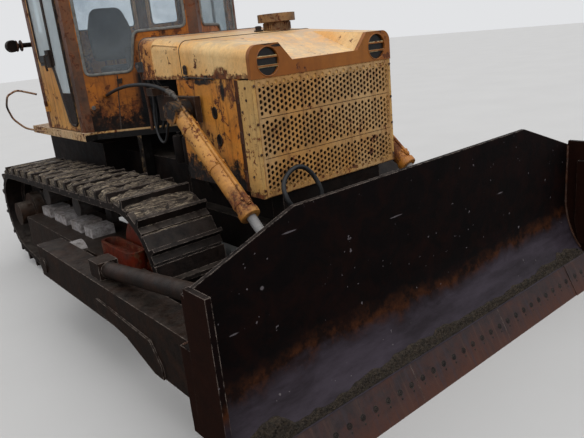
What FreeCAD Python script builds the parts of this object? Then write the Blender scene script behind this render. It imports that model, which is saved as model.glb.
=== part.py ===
import FreeCAD, Part
import Sketcher
import math
import os
import re

# Crawler bulldozer, millimetres. The front is towards -Y and the machine's own right hand is -X.
# Heights are above the ground. Lengths along Y are measured from the grille's front face, and one
# shift, worked out from the blade's reach and the hitch's reach, centres the machine on its origin.

SIZES = [
    # name, value, what it measures
    ("track_gauge", 1880, "between the middles of the two tracks"),
    ("shoe_wide", 500, "track shoe, across the machine"),
    ("shoe_thick", 22, "plate of a shoe"),
    ("shoe_seat", 26, "shoe's seat on the chain, under the plate"),
    ("lug_tall", 60, "grouser above the plate"),
    ("lug_thick", 24, "grouser at its tip"),
    ("lug_foot", 38, "grouser at its foot"),
    ("lug_place", 85, "grouser behind the shoe's front edge"),
    ("shoe_pitch", 203, "wanted step from shoe to shoe"),
    ("shoe_gap", 14, "notch between two shoes"),
    ("link_tall", 100, "chain under the shoes"),
    ("link_wide", 190, "chain, across the machine"),
    ("wheel_play", 1, "between the chain and the wheels"),
    ("rim_in", 18, "front wheel's rim inside the chain's edge"),
    ("idler_y", 850, "front wheel's axle"),
    ("idler_shoe_r", 480, "shoe face about the front wheel's axle"),
    ("idler_hub_r", 108, "front wheel's hub"),
    ("sprocket_y", 3330, "rear wheel's axle"),
    ("sprocket_z", 530, "rear wheel's axle above the ground"),
    ("sprocket_shoe_r", 410, "shoe face about the rear wheel's axle"),
    ("sprocket_thick", 64, "rear wheel's disc"),
    ("sprocket_teeth", 13, "number of the rear wheel's teeth"),
    ("tooth_deep", 62, "rear wheel's tooth"),
    ("drive_r", 250, "final drive's case"),
    ("drive_neck_r", 190, "final drive's neck"),
    ("bearing_r", 180, "outer bearing of the rear wheel"),
    ("bearing_cap_r", 110, "cap of the outer bearing"),
    ("bearing_deep", 88, "outer bearing, across the machine"),
    ("track_kick_y", 2880, "where the lower run leaves the ground"),
    ("axle_r", 45, "axles of wheels and rollers"),
    ("roller_r", 118, "lower roller"),
    ("roller_wide", 230, "rollers, across the machine"),
    ("roller_first_y", 1275, "first lower roller"),
    ("roller_step", 385, "from roller to roller"),
    ("roller_count", 5, "number of lower rollers on a side"),
    ("carrier_r", 85, "upper roller"),
    ("carrier_front_y", 2060, "front upper roller"),
    ("carrier_rear_y", 2820, "rear upper roller"),
    ("post_wide", 60, "upper roller's post"),
    ("post_half", 60, "half length of the upper roller's post"),
    ("casting_wide", 190, "castings on the track frame's top"),
    ("casting_tall", 80, "castings on the track frame's top"),
    ("beam_in", 240, "track frame's inner face from the track's middle"),
    ("beam_out", 260, "track frame's outer face from the track's middle"),
    ("beam_thick", 100, "width of each track frame beam"),
    ("beam_low_z", 262, "track frame's underside"),
    ("beam_top_z", 560, "track frame's top"),
    ("beam_front_y", 660, "track frame's front end"),
    ("beam_rear_y", 3010, "track frame's rear end"),
    ("cover_front_y", 1330, "track frame cover's front end"),
    ("cover_thick", 26, "track frame cover"),
    ("slide_front_y", 780, "front end of the front wheel's bearing slide"),
    ("slide_rear_y", 1300, "rear end of the bearing slide"),
    ("slide_wide", 134, "bearing slide, across the machine"),
    ("slide_tall", 118, "bearing slide above the track frame"),
    ("slide_wall", 22, "rim round the bearing slide's hollow"),
    ("slide_deep", 60, "bearing slide's hollow"),
    ("slide_in", 20, "bearing slide inside the frame's outer face"),
    ("rail_inner_x", 340, "main rail's inner face"),
    ("rail_wide", 100, "main rail"),
    ("rail_low_z", 560, "main rail's underside"),
    ("rail_top_z", 780, "main rail's top"),
    ("frame_front_y", 20, "front cross member's front face"),
    ("frame_rear_y", 2450, "rear end of the main rails"),
    ("belly_thick", 20, "belly plate"),
    ("housing_gap", 140, "between the rear housing and the track frame"),
    ("housing_rear_y", 3860, "rear face of the rear housing"),
    ("housing_low_z", 470, "rear housing's underside"),
    ("housing_top_z", 1180, "rear housing's top"),
    ("housing_slope", 120, "rear housing's cut lower corner, lengthways"),
    ("housing_rise", 160, "rear housing's cut lower corner, upwards"),
    ("gearbox_top_z", 1080, "gearbox's top"),
    ("engine_front_y", 260, "front of the engine block"),
    ("engine_rear_y", 1330, "rear of the engine block"),
    ("engine_top_z", 1600, "top of the engine block"),
    ("equaliser_y", 1480, "equaliser beam's middle"),
    ("equaliser_deep", 170, "equaliser beam, front to back"),
    ("equaliser_tall", 110, "equaliser beam's height"),
    ("cross_shaft_y", 2700, "rear cross shaft's middle"),
    ("cross_shaft_half", 80, "half depth of the rear cross shaft"),
    ("cross_shaft_lift", 10, "rear cross shaft above the housing's underside"),
    ("cowl_half", 593, "half width of the radiator cowl and hood"),
    ("cowl_deep", 140, "radiator cowl, front to back"),
    ("cowl_low_z", 1030, "radiator cowl's lower edge"),
    ("cowl_top_z", 1735, "radiator cowl's upper edge"),
    ("cowl_skin", 46, "radiator cowl's side member"),
    ("core_front_y", 45, "front of the radiator core"),
    ("core_in", 10, "radiator core inside the cowl's rear edge"),
    ("grille_in", 25, "grille sheet inside the cowl's side"),
    ("grille_thick", 6, "grille sheet"),
    ("grille_edge", 6, "grille sheet inside the cowl's lower and upper edges"),
    ("grille_seam_low_z", 1268, "joint of the lower and the middle grille sheet"),
    ("grille_seam_high_z", 1510, "joint of the middle and the upper grille sheet"),
    ("grille_gap", 4, "between two grille sheets"),
    ("hole_r", 12, "grille hole"),
    ("hole_step_x", 31, "from column to column of grille holes"),
    ("hole_step_z", 34, "from hole to hole in a column"),
    ("hole_foot", 25, "lowest grille hole above its sheet's lower edge"),
    ("hole_edge", 8, "least metal between a grille hole and its sheet's edge"),
    ("nose_top_z", 1925, "hood's top at the front"),
    ("nose_thick", 30, "nose plate"),
    ("lip_z", 1818, "sunken lip of the nose"),
    ("lip_slope", 95, "sunken panel's side, across the machine"),
    ("lip_taper", 20, "sunken panel's upper edge, narrower at its rear"),
    ("sunk_rear_y", 500, "rear end of the hood's sunken panel"),
    ("lamp_in", 133, "headlamp's middle inside the cowl's side"),
    ("lamp_z", 1826, "headlamp's height"),
    ("lamp_r", 80, "headlamp's rim"),
    ("lamp_recess", 14, "headlamp's glass behind the nose plate's face"),
    ("lamp_bowl_r", 64, "headlamp's bowl behind the plate"),
    ("lamp_deep", 90, "rear end of the headlamp's bowl"),
    ("slat_up", 24, "headlamp's slats above and below its middle"),
    ("slat_tall", 8, "headlamp's slat"),
    ("slat_thick", 8, "headlamp's slat, front to back"),
    ("hood_gap", 10, "between the cowl's top and the hood's lower edge"),
    ("hood_rear_y", 1350, "hood's rear edge"),
    ("hood_rear_z", 2035, "hood's top at the rear"),
    ("hood_skin", 22, "hood sheet with its stiffening"),
    ("hood_round", 70, "hood's rounded shoulders"),
    ("panel_in", 5, "engine side panel inside the hood's side"),
    ("panel_thick", 16, "engine side panel"),
    ("panel_rear_y", 870, "rear edge of the engine side panel"),
    ("panel_low_z", 1060, "lower edge of the engine side panel"),
    ("precleaner_in", 223, "air pre-cleaner's middle inside the hood's side"),
    ("precleaner_y", 920, "air pre-cleaner behind the grille"),
    ("precleaner_r", 142, "air pre-cleaner's cap"),
    ("precleaner_neck_r", 100, "air pre-cleaner's body"),
    ("precleaner_low", 60, "air pre-cleaner's body below its cap"),
    ("precleaner_cap", 58, "air pre-cleaner's cap, its height"),
    ("cab_front_y", 1450, "cab's front middle pillar"),
    ("cab_mid_y", 2100, "cab's widest pillar"),
    ("cab_side_rear_y", 2980, "cab's rear side pillar"),
    ("cab_rear_y", 3400, "cab's rear wall"),
    ("cab_half", 825, "half width of the cab"),
    ("cab_rear_half", 520, "half width of the cab's rear wall"),
    ("cab_wall", 46, "cab wall"),
    ("cab_floor_low_z", 1280, "underside of the cab floor"),
    ("cab_floor_z", 1345, "top of the cab floor"),
    ("cab_floor_over", 25, "cab floor past the cab's side"),
    ("cab_floor_step", 60, "cab floor's sill in front of the side pillar"),
    ("cab_eave_z", 2945, "top of the cab walls"),
    ("cab_roof_z", 3090, "top of the roof"),
    ("roof_over", 60, "roof past the walls"),
    ("roof_chamfer", 50, "roof's bevelled edge"),
    ("pane_thick", 8, "window pane"),
    ("pane_round", 45, "window's rounded corner"),
    ("windscreen_low_z", 1800, "lower edge of the windscreen beside the hood"),
    ("windscreen_step_z", 2100, "lower edge of the windscreen over the hood"),
    ("windscreen_slant", 60, "windscreen's slanting edge beside the hood"),
    ("windscreen_step_run", 577, "foot of the slanting edge, along the wall from the middle pillar"),
    ("window_top_z", 2860, "upper edge of the windows"),
    ("window_edge", 20, "cab wall between a pillar and a window"),
    ("rear_window_low_z", 2190, "lower edge of the rear windows"),
    ("pillar_thick", 80, "cab pillar"),
    ("scuttle_in", 184, "body in front of the windscreen, inside the hood's side"),
    ("scuttle_gap", 4, "between that body and the cab's front walls"),
    ("scuttle_drop", 8, "that body's top below the hood's"),
    ("scuttle_low", 40, "that body's underside above the hood's lower edge"),
    ("door_gap", 8, "around a door"),
    ("door_thick", 44, "door"),
    ("door_rim", 60, "door sheet beside its window"),
    ("door_rim_front", 26, "door sheet before its window"),
    ("door_window_low_z", 1400, "lower edge of the door's window"),
    ("door_window_step_z", 1930, "lower edge of the window's rear part"),
    ("door_window_foot", 112, "lowest part of the window, lengthways"),
    ("door_window_slant", 160, "slanting edge of the window, lengthways"),
    ("hinge_r", 12, "door hinge's knuckle"),
    ("hinge_pin_r", 6, "door hinge's pin"),
    ("hinge_play", 0.2, "free play about the hinge's pin"),
    ("hinge_stand", 2, "hinge's knuckle off the cab's side"),
    ("hinge_tall", 45, "each half of a door hinge"),
    ("hinge_low_z", 1500, "lower door hinge"),
    ("hinge_high_z", 2700, "upper door hinge"),
    ("hinge_leaf", 46, "leaf of a door hinge"),
    ("mount_x", 390, "cab mount's middle from the middle"),
    ("mount_half", 40, "half width of a cab mount"),
    ("mount_front_y", 1940, "front cab mounts"),
    ("mount_rear_y", 3040, "rear cab mounts"),
    ("seat_half", 260, "half width of the seat"),
    ("seat_front_y", 2640, "seat's front edge"),
    ("seat_deep", 480, "seat cushion, front to back"),
    ("seat_top", 500, "seat cushion's top above the floor"),
    ("seat_pad", 120, "seat cushion's thickness"),
    ("seat_back", 1075, "top of the seat's back above the floor"),
    ("seat_back_thick", 100, "seat's back"),
    ("seat_lean", 80, "top of the seat's back behind its foot"),
    ("seat_base_half", 200, "half width of the seat's base"),
    ("seat_base_in", 40, "seat's base inside its cushion"),
    ("console_half", 380, "half width of the console"),
    ("console_front_y", 1860, "console's front"),
    ("console_deep", 180, "console, front to back"),
    ("console_tall", 640, "console above the floor"),
    ("rear_bar_z", 2105, "rear lamp bar above the ground"),
    ("rear_bar_half", 920, "half length of the rear lamp bar"),
    ("rear_bar_r", 22, "rear lamp bar's tube"),
    ("rear_bar_off", 34, "rear lamp bar behind the cab's rear wall"),
    ("rear_bar_foot_x", 440, "rear lamp bar's brackets from the middle"),
    ("rear_bar_foot", 50, "rear lamp bar's bracket"),
    ("rear_lamp_r", 55, "fittings at the ends of the rear lamp bar"),
    ("rear_lamp_deep", 70, "fittings at the ends of the bar, lengthways"),
    ("tank_gap", 20, "between the cab's rear wall and the fuel tank"),
    ("tank_deep", 420, "fuel tank, front to back"),
    ("tank_top", 400, "fuel tank's top above the cab's floor"),
    ("blade_over", 123, "blade's end past the push arm"),
    ("blade_end_z", 1000, "blade's height at its ends"),
    ("blade_mid_z", 1220, "blade's height in the middle"),
    ("blade_fall", 620, "falling part of the blade's top edge, across the machine"),
    ("blade_top_y", -770, "blade's upright upper part"),
    ("blade_bend_z", 620, "where the blade starts to curve forwards"),
    ("blade_foot_y", -930, "top of the cutting edge"),
    ("blade_foot_z", 200, "height of the cutting edge"),
    ("blade_tip_reach", 1035, "cutting edge's tip in front of the grille"),
    ("blade_plate", 24, "mouldboard"),
    ("edge_thick", 30, "cutting edge"),
    ("edge_bit", 335, "end bit of the cutting edge, across the machine"),
    ("edge_bit_thick", 36, "end bit's thickness"),
    ("edge_gap", 2, "between the pieces of the cutting edge"),
    ("cheek_thick", 30, "blade's end plate"),
    ("cheek_over", 35, "end plate above the blade's end"),
    ("cheek_front_y", -940, "end plate's front edge"),
    ("cheek_rear_y", -710, "end plate's lower rear corner"),
    ("cheek_top_y", -775, "end plate's upper rear corner"),
    ("cheek_low_z", 215, "end plate's lower front corner"),
    ("cheek_heel_z", 340, "end plate's lower rear corner above the ground"),
    ("wing_front_y", -1020, "front edge of the left end's wing plate"),
    ("wing_rear_y", -860, "rear edge of the wing plate"),
    ("wing_low_z", 290, "wing plate's lower edge"),
    ("wing_top_z", 900, "wing plate's upper edge"),
    ("wing_heel", 150, "wing plate's cut lower rear corner"),
    ("back_box_deep", 330, "rear face of the blade's box behind the cutting edge"),
    ("back_box_top_z", 700, "top of the blade's box"),
    ("back_box_low_z", 250, "underside of the blade's box"),
    ("rib_thick", 30, "blade's rib"),
    ("rib_in_x", 300, "inner ribs from the middle"),
    ("rib_out_x", 900, "outer ribs from the middle"),
    ("rib_deep", 260, "rear edge of the blade's upper ribs behind the cutting edge"),
    ("rib_top_gap", 60, "ribs below the blade's top edge"),
    ("arm_clear", 110, "between the shoes' ends and the push arm"),
    ("arm_wide", 187, "push arm, across the machine"),
    ("arm_low_z", 400, "push arm's underside"),
    ("arm_top_z", 640, "push arm's top"),
    ("arm_drop", 110, "push arm's front end below its underside"),
    ("arm_drop_y", -60, "where the deeper front end stops"),
    ("arm_rise_y", 260, "where the arm has its own depth"),
    ("arm_plate", 12, "push arm's strap"),
    ("arm_plate_y", 641, "rear end of the push arm's strap"),
    ("arm_plate_top_z", 528, "strap's upper rear corner"),
    ("arm_plate_low_z", 440, "strap's lower rear corner"),
    ("arm_plate_fall", 40, "strap's upper edge, from its rear end to its bend"),
    ("arm_plate_front_y", -159, "front end of the push arm's strap"),
    ("arm_pivot_y", 1650, "push arm's rear pivot"),
    ("arm_pivot_z", 500, "push arm's rear pivot above the ground"),
    ("arm_pivot_r", 60, "push arm's pivot pin"),
    ("arm_pivot_boss_r", 114, "boss beside the push arm"),
    ("arm_pivot_end", 14, "pivot pin past the push arm"),
    ("arm_tail", 100, "push arm behind its pivot"),
    ("pivot_play", 1, "free play about the pivots"),
    ("brace_r", 50, "brace tube"),
    ("brace_rear_y", 640, "brace's boss on the push arm"),
    ("brace_rise", 50, "brace's rear end above the push arm"),
    ("brace_front_z", 860, "brace's front end above the ground"),
    ("brace_boss_wide", 130, "brace's boss, across the machine"),
    ("brace_boss_long", 150, "brace's boss, lengthways"),
    ("brace_boss_tall", 110, "brace's boss above the push arm"),
    ("barrel_gap", 69, "between the cowl's side and the lift cylinder"),
    ("barrel_r", 58, "lift cylinder's barrel"),
    ("barrel_long", 900, "lift cylinder's barrel from its pivot"),
    ("head_r", 72, "lift cylinder's head"),
    ("head_over", 8, "lift cylinder's head past its barrel, on each side"),
    ("port_long", 132, "lift cylinder's port block behind its pivot"),
    ("port_half", 38, "half width and height of the port block"),
    ("pipe_r", 11, "pipe along the lift cylinder"),
    ("pipe_lift", 64, "pipe from the cylinder's middle line"),
    ("pipe_start", 60, "pipe's end behind the cylinder's pivot"),
    ("pipe_end", 850, "pipe's end along the barrel"),
    ("trunnion_r", 28, "lift cylinder's trunnion"),
    ("rod_r", 30, "lift cylinder's rod"),
    ("rod_play", 0.3, "free play about the rod"),
    ("rod_long", 890, "lift cylinder's rod to its eye"),
    ("eye_r", 55, "rod's eye"),
    ("lift_head_y", 660, "lift cylinder's upper pivot"),
    ("lift_head_z", 1555, "lift cylinder's upper pivot above the ground"),
    ("lift_eye_y", -450, "rod's eye"),
    ("lift_eye_z", 575, "rod's eye above the ground"),
    ("ear_gap", 8, "free play each side of the rod's eye"),
    ("ear_thick", 22, "each ear that holds the rod's eye"),
    ("ear_half", 60, "half height of an ear at the rod's eye"),
    ("ear_foot_half", 90, "half height of an ear at the blade"),
    ("bracket_gap", 9, "between the cowl's side and the lift bracket"),
    ("bracket_thick", 44, "lift bracket's plate"),
    ("bracket_half", 85, "half height of the lift bracket's plate"),
    ("bracket_front", 90, "lift bracket in front of the cylinder's pivot"),
    ("stay_gap", 12, "between the side panel and the lift bracket's stay"),
    ("stay_deep", 78, "lift bracket's stay, lengthways"),
    ("arch_deep", 110, "hose post behind the stay"),
    ("arch_leg", 88, "arch beside its post, lengthways"),
    ("arch_top_z", 1700, "hose post's top"),
    ("arch_tall", 50, "hose block at the post's top"),
    ("arch_reach", 74, "hose block out of the post"),
    ("hose_r", 12.5, "lift hose"),
    ("head_hose_r", 9, "hose to the lift cylinder's port"),
    ("grille_hose_r", 15, "hose in front of the grille"),
    ("gland_r", 20, "hose's gland on the cab's front wall"),
    ("gland_out", 32, "hose's gland out of the cab's front wall"),
    ("gland_x", 650, "hose's gland from the middle"),
    ("gland_z", 1633, "hose's gland above the ground"),
    ("hitch_reach", 4060, "rear end of the drawbar behind the grille"),
    ("hitch_z", 470, "drawbar above the ground"),
    ("hitch_thick", 60, "drawbar"),
    ("hitch_half", 70, "half width of the drawbar"),
    ("hitch_bore_r", 26, "drawbar's pin hole"),
    ("hitch_bore_in", 80, "drawbar's pin hole before its rear end"),
    ("hitch_foot_half", 200, "half width of the drawbar's foot"),
    ("hitch_foot_deep", 180, "drawbar's foot, lengthways"),
]

doc = FreeCAD.newDocument("bulldozer")
sheet = doc.addObject("Spreadsheet::Sheet", "Sizes")
for row, (alias, value, note) in enumerate(SIZES, start=1):
    sheet.set("A%d" % row, note)
    sheet.set("B%d" % row, str(value))
    sheet.setAlias("B%d" % row, alias)
reading = doc.addObject("App::FeaturePython", "Reading")
reading.addProperty("App::PropertyFloat", "Value")
doc.recompute()

# Places worked out from the driving dimensions
SHIFT = "-(hitch_reach - blade_tip_reach) / 2"
WHEEL_X = "track_gauge / 2"
BEAM_IN = "(track_gauge / 2 - beam_in)"
BEAM_OUT = "(track_gauge / 2 + beam_out)"
HOUSING_HALF = "(track_gauge / 2 - beam_in - housing_gap)"
IDLER_Z = "(idler_shoe_r + lug_tall)"
CHAIN_DEEP = "(shoe_thick + link_tall)"
ARM_IN = "(track_gauge / 2 + shoe_wide / 2 + arm_clear)"
ARM_OUT = "(track_gauge / 2 + shoe_wide / 2 + arm_clear + arm_wide)"
ARM_MIDDLE = "(track_gauge / 2 + shoe_wide / 2 + arm_clear + arm_wide / 2)"
BLADE_HALF = "(track_gauge / 2 + shoe_wide / 2 + arm_clear + arm_wide + blade_over)"
BACK_Y = "(blade_foot_y + back_box_deep)"
PANEL_X = "(cowl_half - panel_in)"
HOOD_LOW_Z = "(cowl_top_z + hood_gap)"
LAMP_X = "(cowl_half - lamp_in)"
LIFT_X = "(cowl_half + barrel_gap + barrel_r)"
BRACKET_IN = "(cowl_half + bracket_gap)"
BRACKET_OUT = "(cowl_half + bracket_gap + bracket_thick)"
STAY_Y = "(panel_rear_y + stay_gap)"
FLOOR_HALF = "(cab_half + cab_floor_over)"
SCUTTLE_HALF = "(cowl_half - scuttle_in)"

ALIASES = {alias for alias, value, note in SIZES}
WORD = re.compile(r"[A-Za-z_]\w*")
SIDES = (("R", -1), ("L", 1))
Vector = FreeCAD.Vector
UP = Vector(0, 0, 1)
parts = []


def bound(text):
    """An expression in which each driving dimension is read from the sheet."""
    return WORD.sub(lambda m: "Sizes." + m.group(0) if m.group(0) in ALIASES else m.group(0), str(text))


def size(text):
    """The value of a driving dimension or of an expression of several."""
    if text in ALIASES:
        return float(sheet.get(text))
    reading.setExpression("Value", bound(text))
    reading.recompute()
    return reading.Value


def reach(side, inner, outer):
    """Low and high X of something between two distances from the middle, on one side."""
    if side > 0:
        return str(inner), str(outer)
    return "-(%s)" % outer, "-(%s)" % inner


def keep(thing, label):
    """Names a finished sub-part, shifts it to the machine's origin and lists it for writing."""
    thing.Label = label
    thing.setExpression("Placement.Base.y", bound(SHIFT))
    parts.append(thing)
    return thing


def body(label):
    return keep(doc.addObject("PartDesign::Body", label), label)


def base_plane(owner, role):
    return [f for f in owner.Origin.OriginFeatures if f.Role == role][0]


def sketch(owner, role, height, loops):
    """A sketch on one of the body's planes, moved to a height along +X, +Y or +Z.

    A loop is a list of corners, or ("circle", across, up, radius). Each corner is held by its two
    distances from the middle, which are expressions of the driving dimensions.
    """
    flat = owner.newObject("Sketcher::SketchObject", owner.Name + "_sketch")
    flat.AttachmentSupport = (base_plane(owner, role), [""])
    flat.MapMode = "FlatFace"
    turned = "-1 * (%s)" % height if role == "XZ_Plane" else height
    flat.setExpression("AttachmentOffset.Base.z", bound(turned))

    def hold(kind, shape, point, text):
        index = flat.addConstraint(Sketcher.Constraint(kind, -1, 1, shape, point, 1.0))
        flat.setExpression("Constraints[%d]" % index, bound(text))

    for loop in loops:
        first = flat.GeometryCount
        if loop[0] == "circle":
            flat.addGeometry(Part.Circle(Vector(1, 1, 0), UP, 1.0))
            hold("DistanceX", first, 3, loop[1])
            hold("DistanceY", first, 3, loop[2])
            index = flat.addConstraint(Sketcher.Constraint("Radius", first, 1.0))
            flat.setExpression("Constraints[%d]" % index, bound(loop[3]))
            continue
        count = len(loop)
        ring = [Vector(math.cos(2 * math.pi * i / count), math.sin(2 * math.pi * i / count), 0)
                for i in range(count)]
        for i in range(count):
            flat.addGeometry(Part.LineSegment(ring[i], ring[(i + 1) % count]))
        for i in range(count):
            flat.addConstraint(Sketcher.Constraint("Coincident", first + i, 2, first + (i + 1) % count, 1))
        for i, (across, up) in enumerate(loop):
            hold("DistanceX", first + i, 1, across)
            hold("DistanceY", first + i, 1, up)
    return flat


def pad(owner, role, low, high, *loops):
    """Adds a prism between two heights along the plane's own axis."""
    feature = owner.newObject("PartDesign::Pad", owner.Name + "_pad")
    feature.Profile = sketch(owner, role, low, loops)
    feature.setExpression("Length", bound("(%s) - (%s)" % (high, low)))
    feature.Reversed = role == "XZ_Plane"
    return feature


def pocket(owner, role, low, high, *loops):
    """Cuts a prism between two heights along the plane's own axis."""
    feature = owner.newObject("PartDesign::Pocket", owner.Name + "_pocket")
    feature.Profile = sketch(owner, role, low, loops)
    feature.setExpression("Length", bound("(%s) - (%s)" % (high, low)))
    feature.Reversed = role != "XZ_Plane"
    return feature


def rounded(owner, radius, chosen):
    """Rounds the body's edges that a test on middle point and direction picks."""
    doc.recompute()
    names = []
    for number, edge in enumerate(owner.Shape.Edges, start=1):
        if isinstance(edge.Curve, Part.Line):
            place = owner.Placement.inverse().multVec(edge.CenterOfMass)
            if chosen(place, edge.Curve.Direction):
                names.append("Edge%d" % number)
    base = owner.Tip
    feature = owner.newObject("PartDesign::Fillet", owner.Name + "_round")
    feature.Base = (base, names)
    feature.setExpression("Radius", bound(radius))
    return feature


def rectangle(low_across, high_across, low_up, high_up):
    return [(low_across, low_up), (high_across, low_up), (high_across, high_up), (low_across, high_up)]


def box(x, y, z):
    """A box between named low and high values on each axis."""
    solid = doc.addObject("Part::Box", "block")
    for prop, axis, (low, high) in (("Length", "x", x), ("Width", "y", y), ("Height", "z", z)):
        solid.setExpression(prop, bound("(%s) - (%s)" % (high, low)))
        solid.setExpression("Placement.Base." + axis, bound(low))
    return solid


AXIS_TURN = {
    "X": FreeCAD.Rotation(Vector(0, 1, 0), 90),
    "Y": FreeCAD.Rotation(Vector(1, 0, 0), -90),
    "Z": FreeCAD.Rotation(),
}


def round_bar(axis, low, high, radius, across, up):
    """A round bar along X, Y or Z; across and up place it on the other two axes, in X, Y, Z order."""
    solid = doc.addObject("Part::Cylinder", "bar")
    solid.Placement = FreeCAD.Placement(Vector(), AXIS_TURN[axis])
    solid.setExpression("Radius", bound(radius))
    solid.setExpression("Height", bound("(%s) - (%s)" % (high, low)))
    solid.setExpression("Placement.Base." + axis.lower(), bound(low))
    others = [name for name in "xyz" if name != axis.lower()]
    solid.setExpression("Placement.Base." + others[0], bound(across))
    solid.setExpression("Placement.Base." + others[1], bound(up))
    return solid


def fused(label, solids):
    """Several primitives fused where they meet."""
    whole = doc.addObject("Part::MultiFuse", label)
    whole.Shapes = solids
    whole.Refine = True
    return whole


def joined(label, solids):
    """One sub-part out of several primitives, fused where they meet."""
    return keep(fused(label, solids), label)


def gathered(label, solids):
    """One sub-part of like solids that don't touch each other."""
    whole = doc.addObject("Part::Compound", label)
    whole.Links = solids
    return keep(whole, label)


def plain_block(label, x, y, z):
    """A sub-part that is one block."""
    owner = body(label)
    pad(owner, "XY_Plane", z[0], z[1], rectangle(x[0], x[1], y[0], y[1]))
    return owner


def cut_from(base, tool):
    result = doc.addObject("Part::Cut", "cut")
    result.Base = base
    result.Tool = tool
    result.Refine = True
    return result


def formed(label, shape):
    """A sub-part whose shape is worked out by Part's own functions from the sheet."""
    feature = doc.addObject("Part::Feature", label)
    feature.Shape = shape
    return keep(feature, label)


def flat_face(spots):
    return Part.Face(Part.makePolygon(spots + spots[:1]))


def side_plate(x, wide, corners):
    """A plate across the machine's X, from x to x + wide, with its corners given as (y, z)."""
    return flat_face([Vector(x, y, z) for y, z in corners]).extrude(Vector(wide, 0, 0))


def rounded_outline(spots, radius):
    """A closed flat outline whose corners are arcs of one radius, tangent to its straight edges."""
    edges = []
    count = len(spots)
    cuts = []
    for i, corner in enumerate(spots):
        before = (spots[i - 1] - corner).normalize()
        after = (spots[(i + 1) % count] - corner).normalize()
        half_angle = before.getAngle(after) / 2
        back = radius / math.tan(half_angle)
        middle = (before + after).normalize()
        centre = corner + middle * (radius / math.sin(half_angle))
        cuts.append((corner + before * back, centre - middle * radius, corner + after * back))
    for i, (start, mid, end) in enumerate(cuts):
        edges.append(Part.Arc(start, mid, end).toShape())
        edges.append(Part.LineSegment(end, cuts[(i + 1) % count][0]).toShape())
    return Part.Wire(edges)


def hose(label, spots, radius, turned=1):
    """A round hose along straight runs joined by tangent arcs, as large as their runs allow.

    Each arc's radius is 0.45 of the shorter run beside its point, divided by the tangent of half
    the turn. The hose on the machine's left is the mirror image of the one on its right.
    """
    spots = [Vector(x * turned, y, z) for x, y, z in spots]
    edges = []
    start = spots[0]
    radii = []
    for before, corner, after in zip(spots, spots[1:], spots[2:]):
        back, ahead = before - corner, after - corner
        turn = math.pi - back.getAngle(ahead)
        cut = 0.45 * min(back.Length, ahead.Length)
        bend = cut / math.tan(turn / 2)
        radii.append(bend)
        back.normalize()
        ahead.normalize()
        middle = (back + ahead).normalize()
        inside = corner + middle * (bend / math.cos(turn / 2) - bend)
        edges.append(Part.LineSegment(start, corner + back * cut).toShape())
        edges.append(Part.Arc(corner + back * cut, inside, corner + ahead * cut).toShape())
        start = corner + ahead * cut
    edges.append(Part.LineSegment(start, spots[-1]).toShape())
    path = Part.Wire(edges)
    ring = Part.Wire(Part.makeCircle(radius, spots[0], spots[1] - spots[0]))
    tube = path.makePipeShell([ring], True, False)
    full = math.pi * radius ** 2 * path.Length
    print("%s: length %.0f, tightest bend %.0f, volume ratio %.4f"
          % (label, path.Length, min(radii), tube.Volume / full))
    return formed(label, tube)


# Running gear

def polar(circle, angle):
    return circle[0] + circle[2] * math.cos(angle), circle[1] + circle[2] * math.sin(angle)


def at(point, x):
    return Vector(x, point[0], point[1])


def loop_path(offset):
    """The track's closed path at a distance outside the shoes' face: points on lines and arcs.

    It runs over the front wheel, back along the upper run, round the rear wheel and along the ground.
    """
    front = (size("idler_y"), size(IDLER_Z), size("idler_shoe_r") + offset)
    rear = (size("sprocket_y"), size("sprocket_z"), size("sprocket_shoe_r") + offset)
    ground = front[1] - front[2]
    kick_y = size("track_kick_y")
    dy, dz = rear[0] - front[0], rear[1] - front[1]
    far = math.hypot(dy, dz)
    top_angle = math.atan2(dz, dy) + math.acos((front[2] - rear[2]) / far)
    # The lower run leaves the ground and meets the rear wheel in a tangent
    ky, kz = kick_y - rear[0], ground - rear[1]
    away = math.hypot(ky, kz)
    low_angle = math.atan2(kz, ky) + math.acos(rear[2] / away)
    return (polar(front, top_angle), polar(rear, top_angle), polar(rear, 0.0), polar(rear, low_angle),
            (kick_y, ground), (front[0], ground), polar(front, math.pi))


def track_wire(offset, x):
    top_front, top_rear, rear_mid, low_rear, kick, low_front, front_mid = [
        at(p, x) for p in loop_path(offset)]
    return Part.Wire([
        Part.LineSegment(top_front, top_rear).toShape(),
        Part.Arc(top_rear, rear_mid, low_rear).toShape(),
        Part.LineSegment(low_rear, kick).toShape(),
        Part.LineSegment(kick, low_front).toShape(),
        Part.Arc(low_front, front_mid, top_front).toShape(),
    ])


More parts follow.
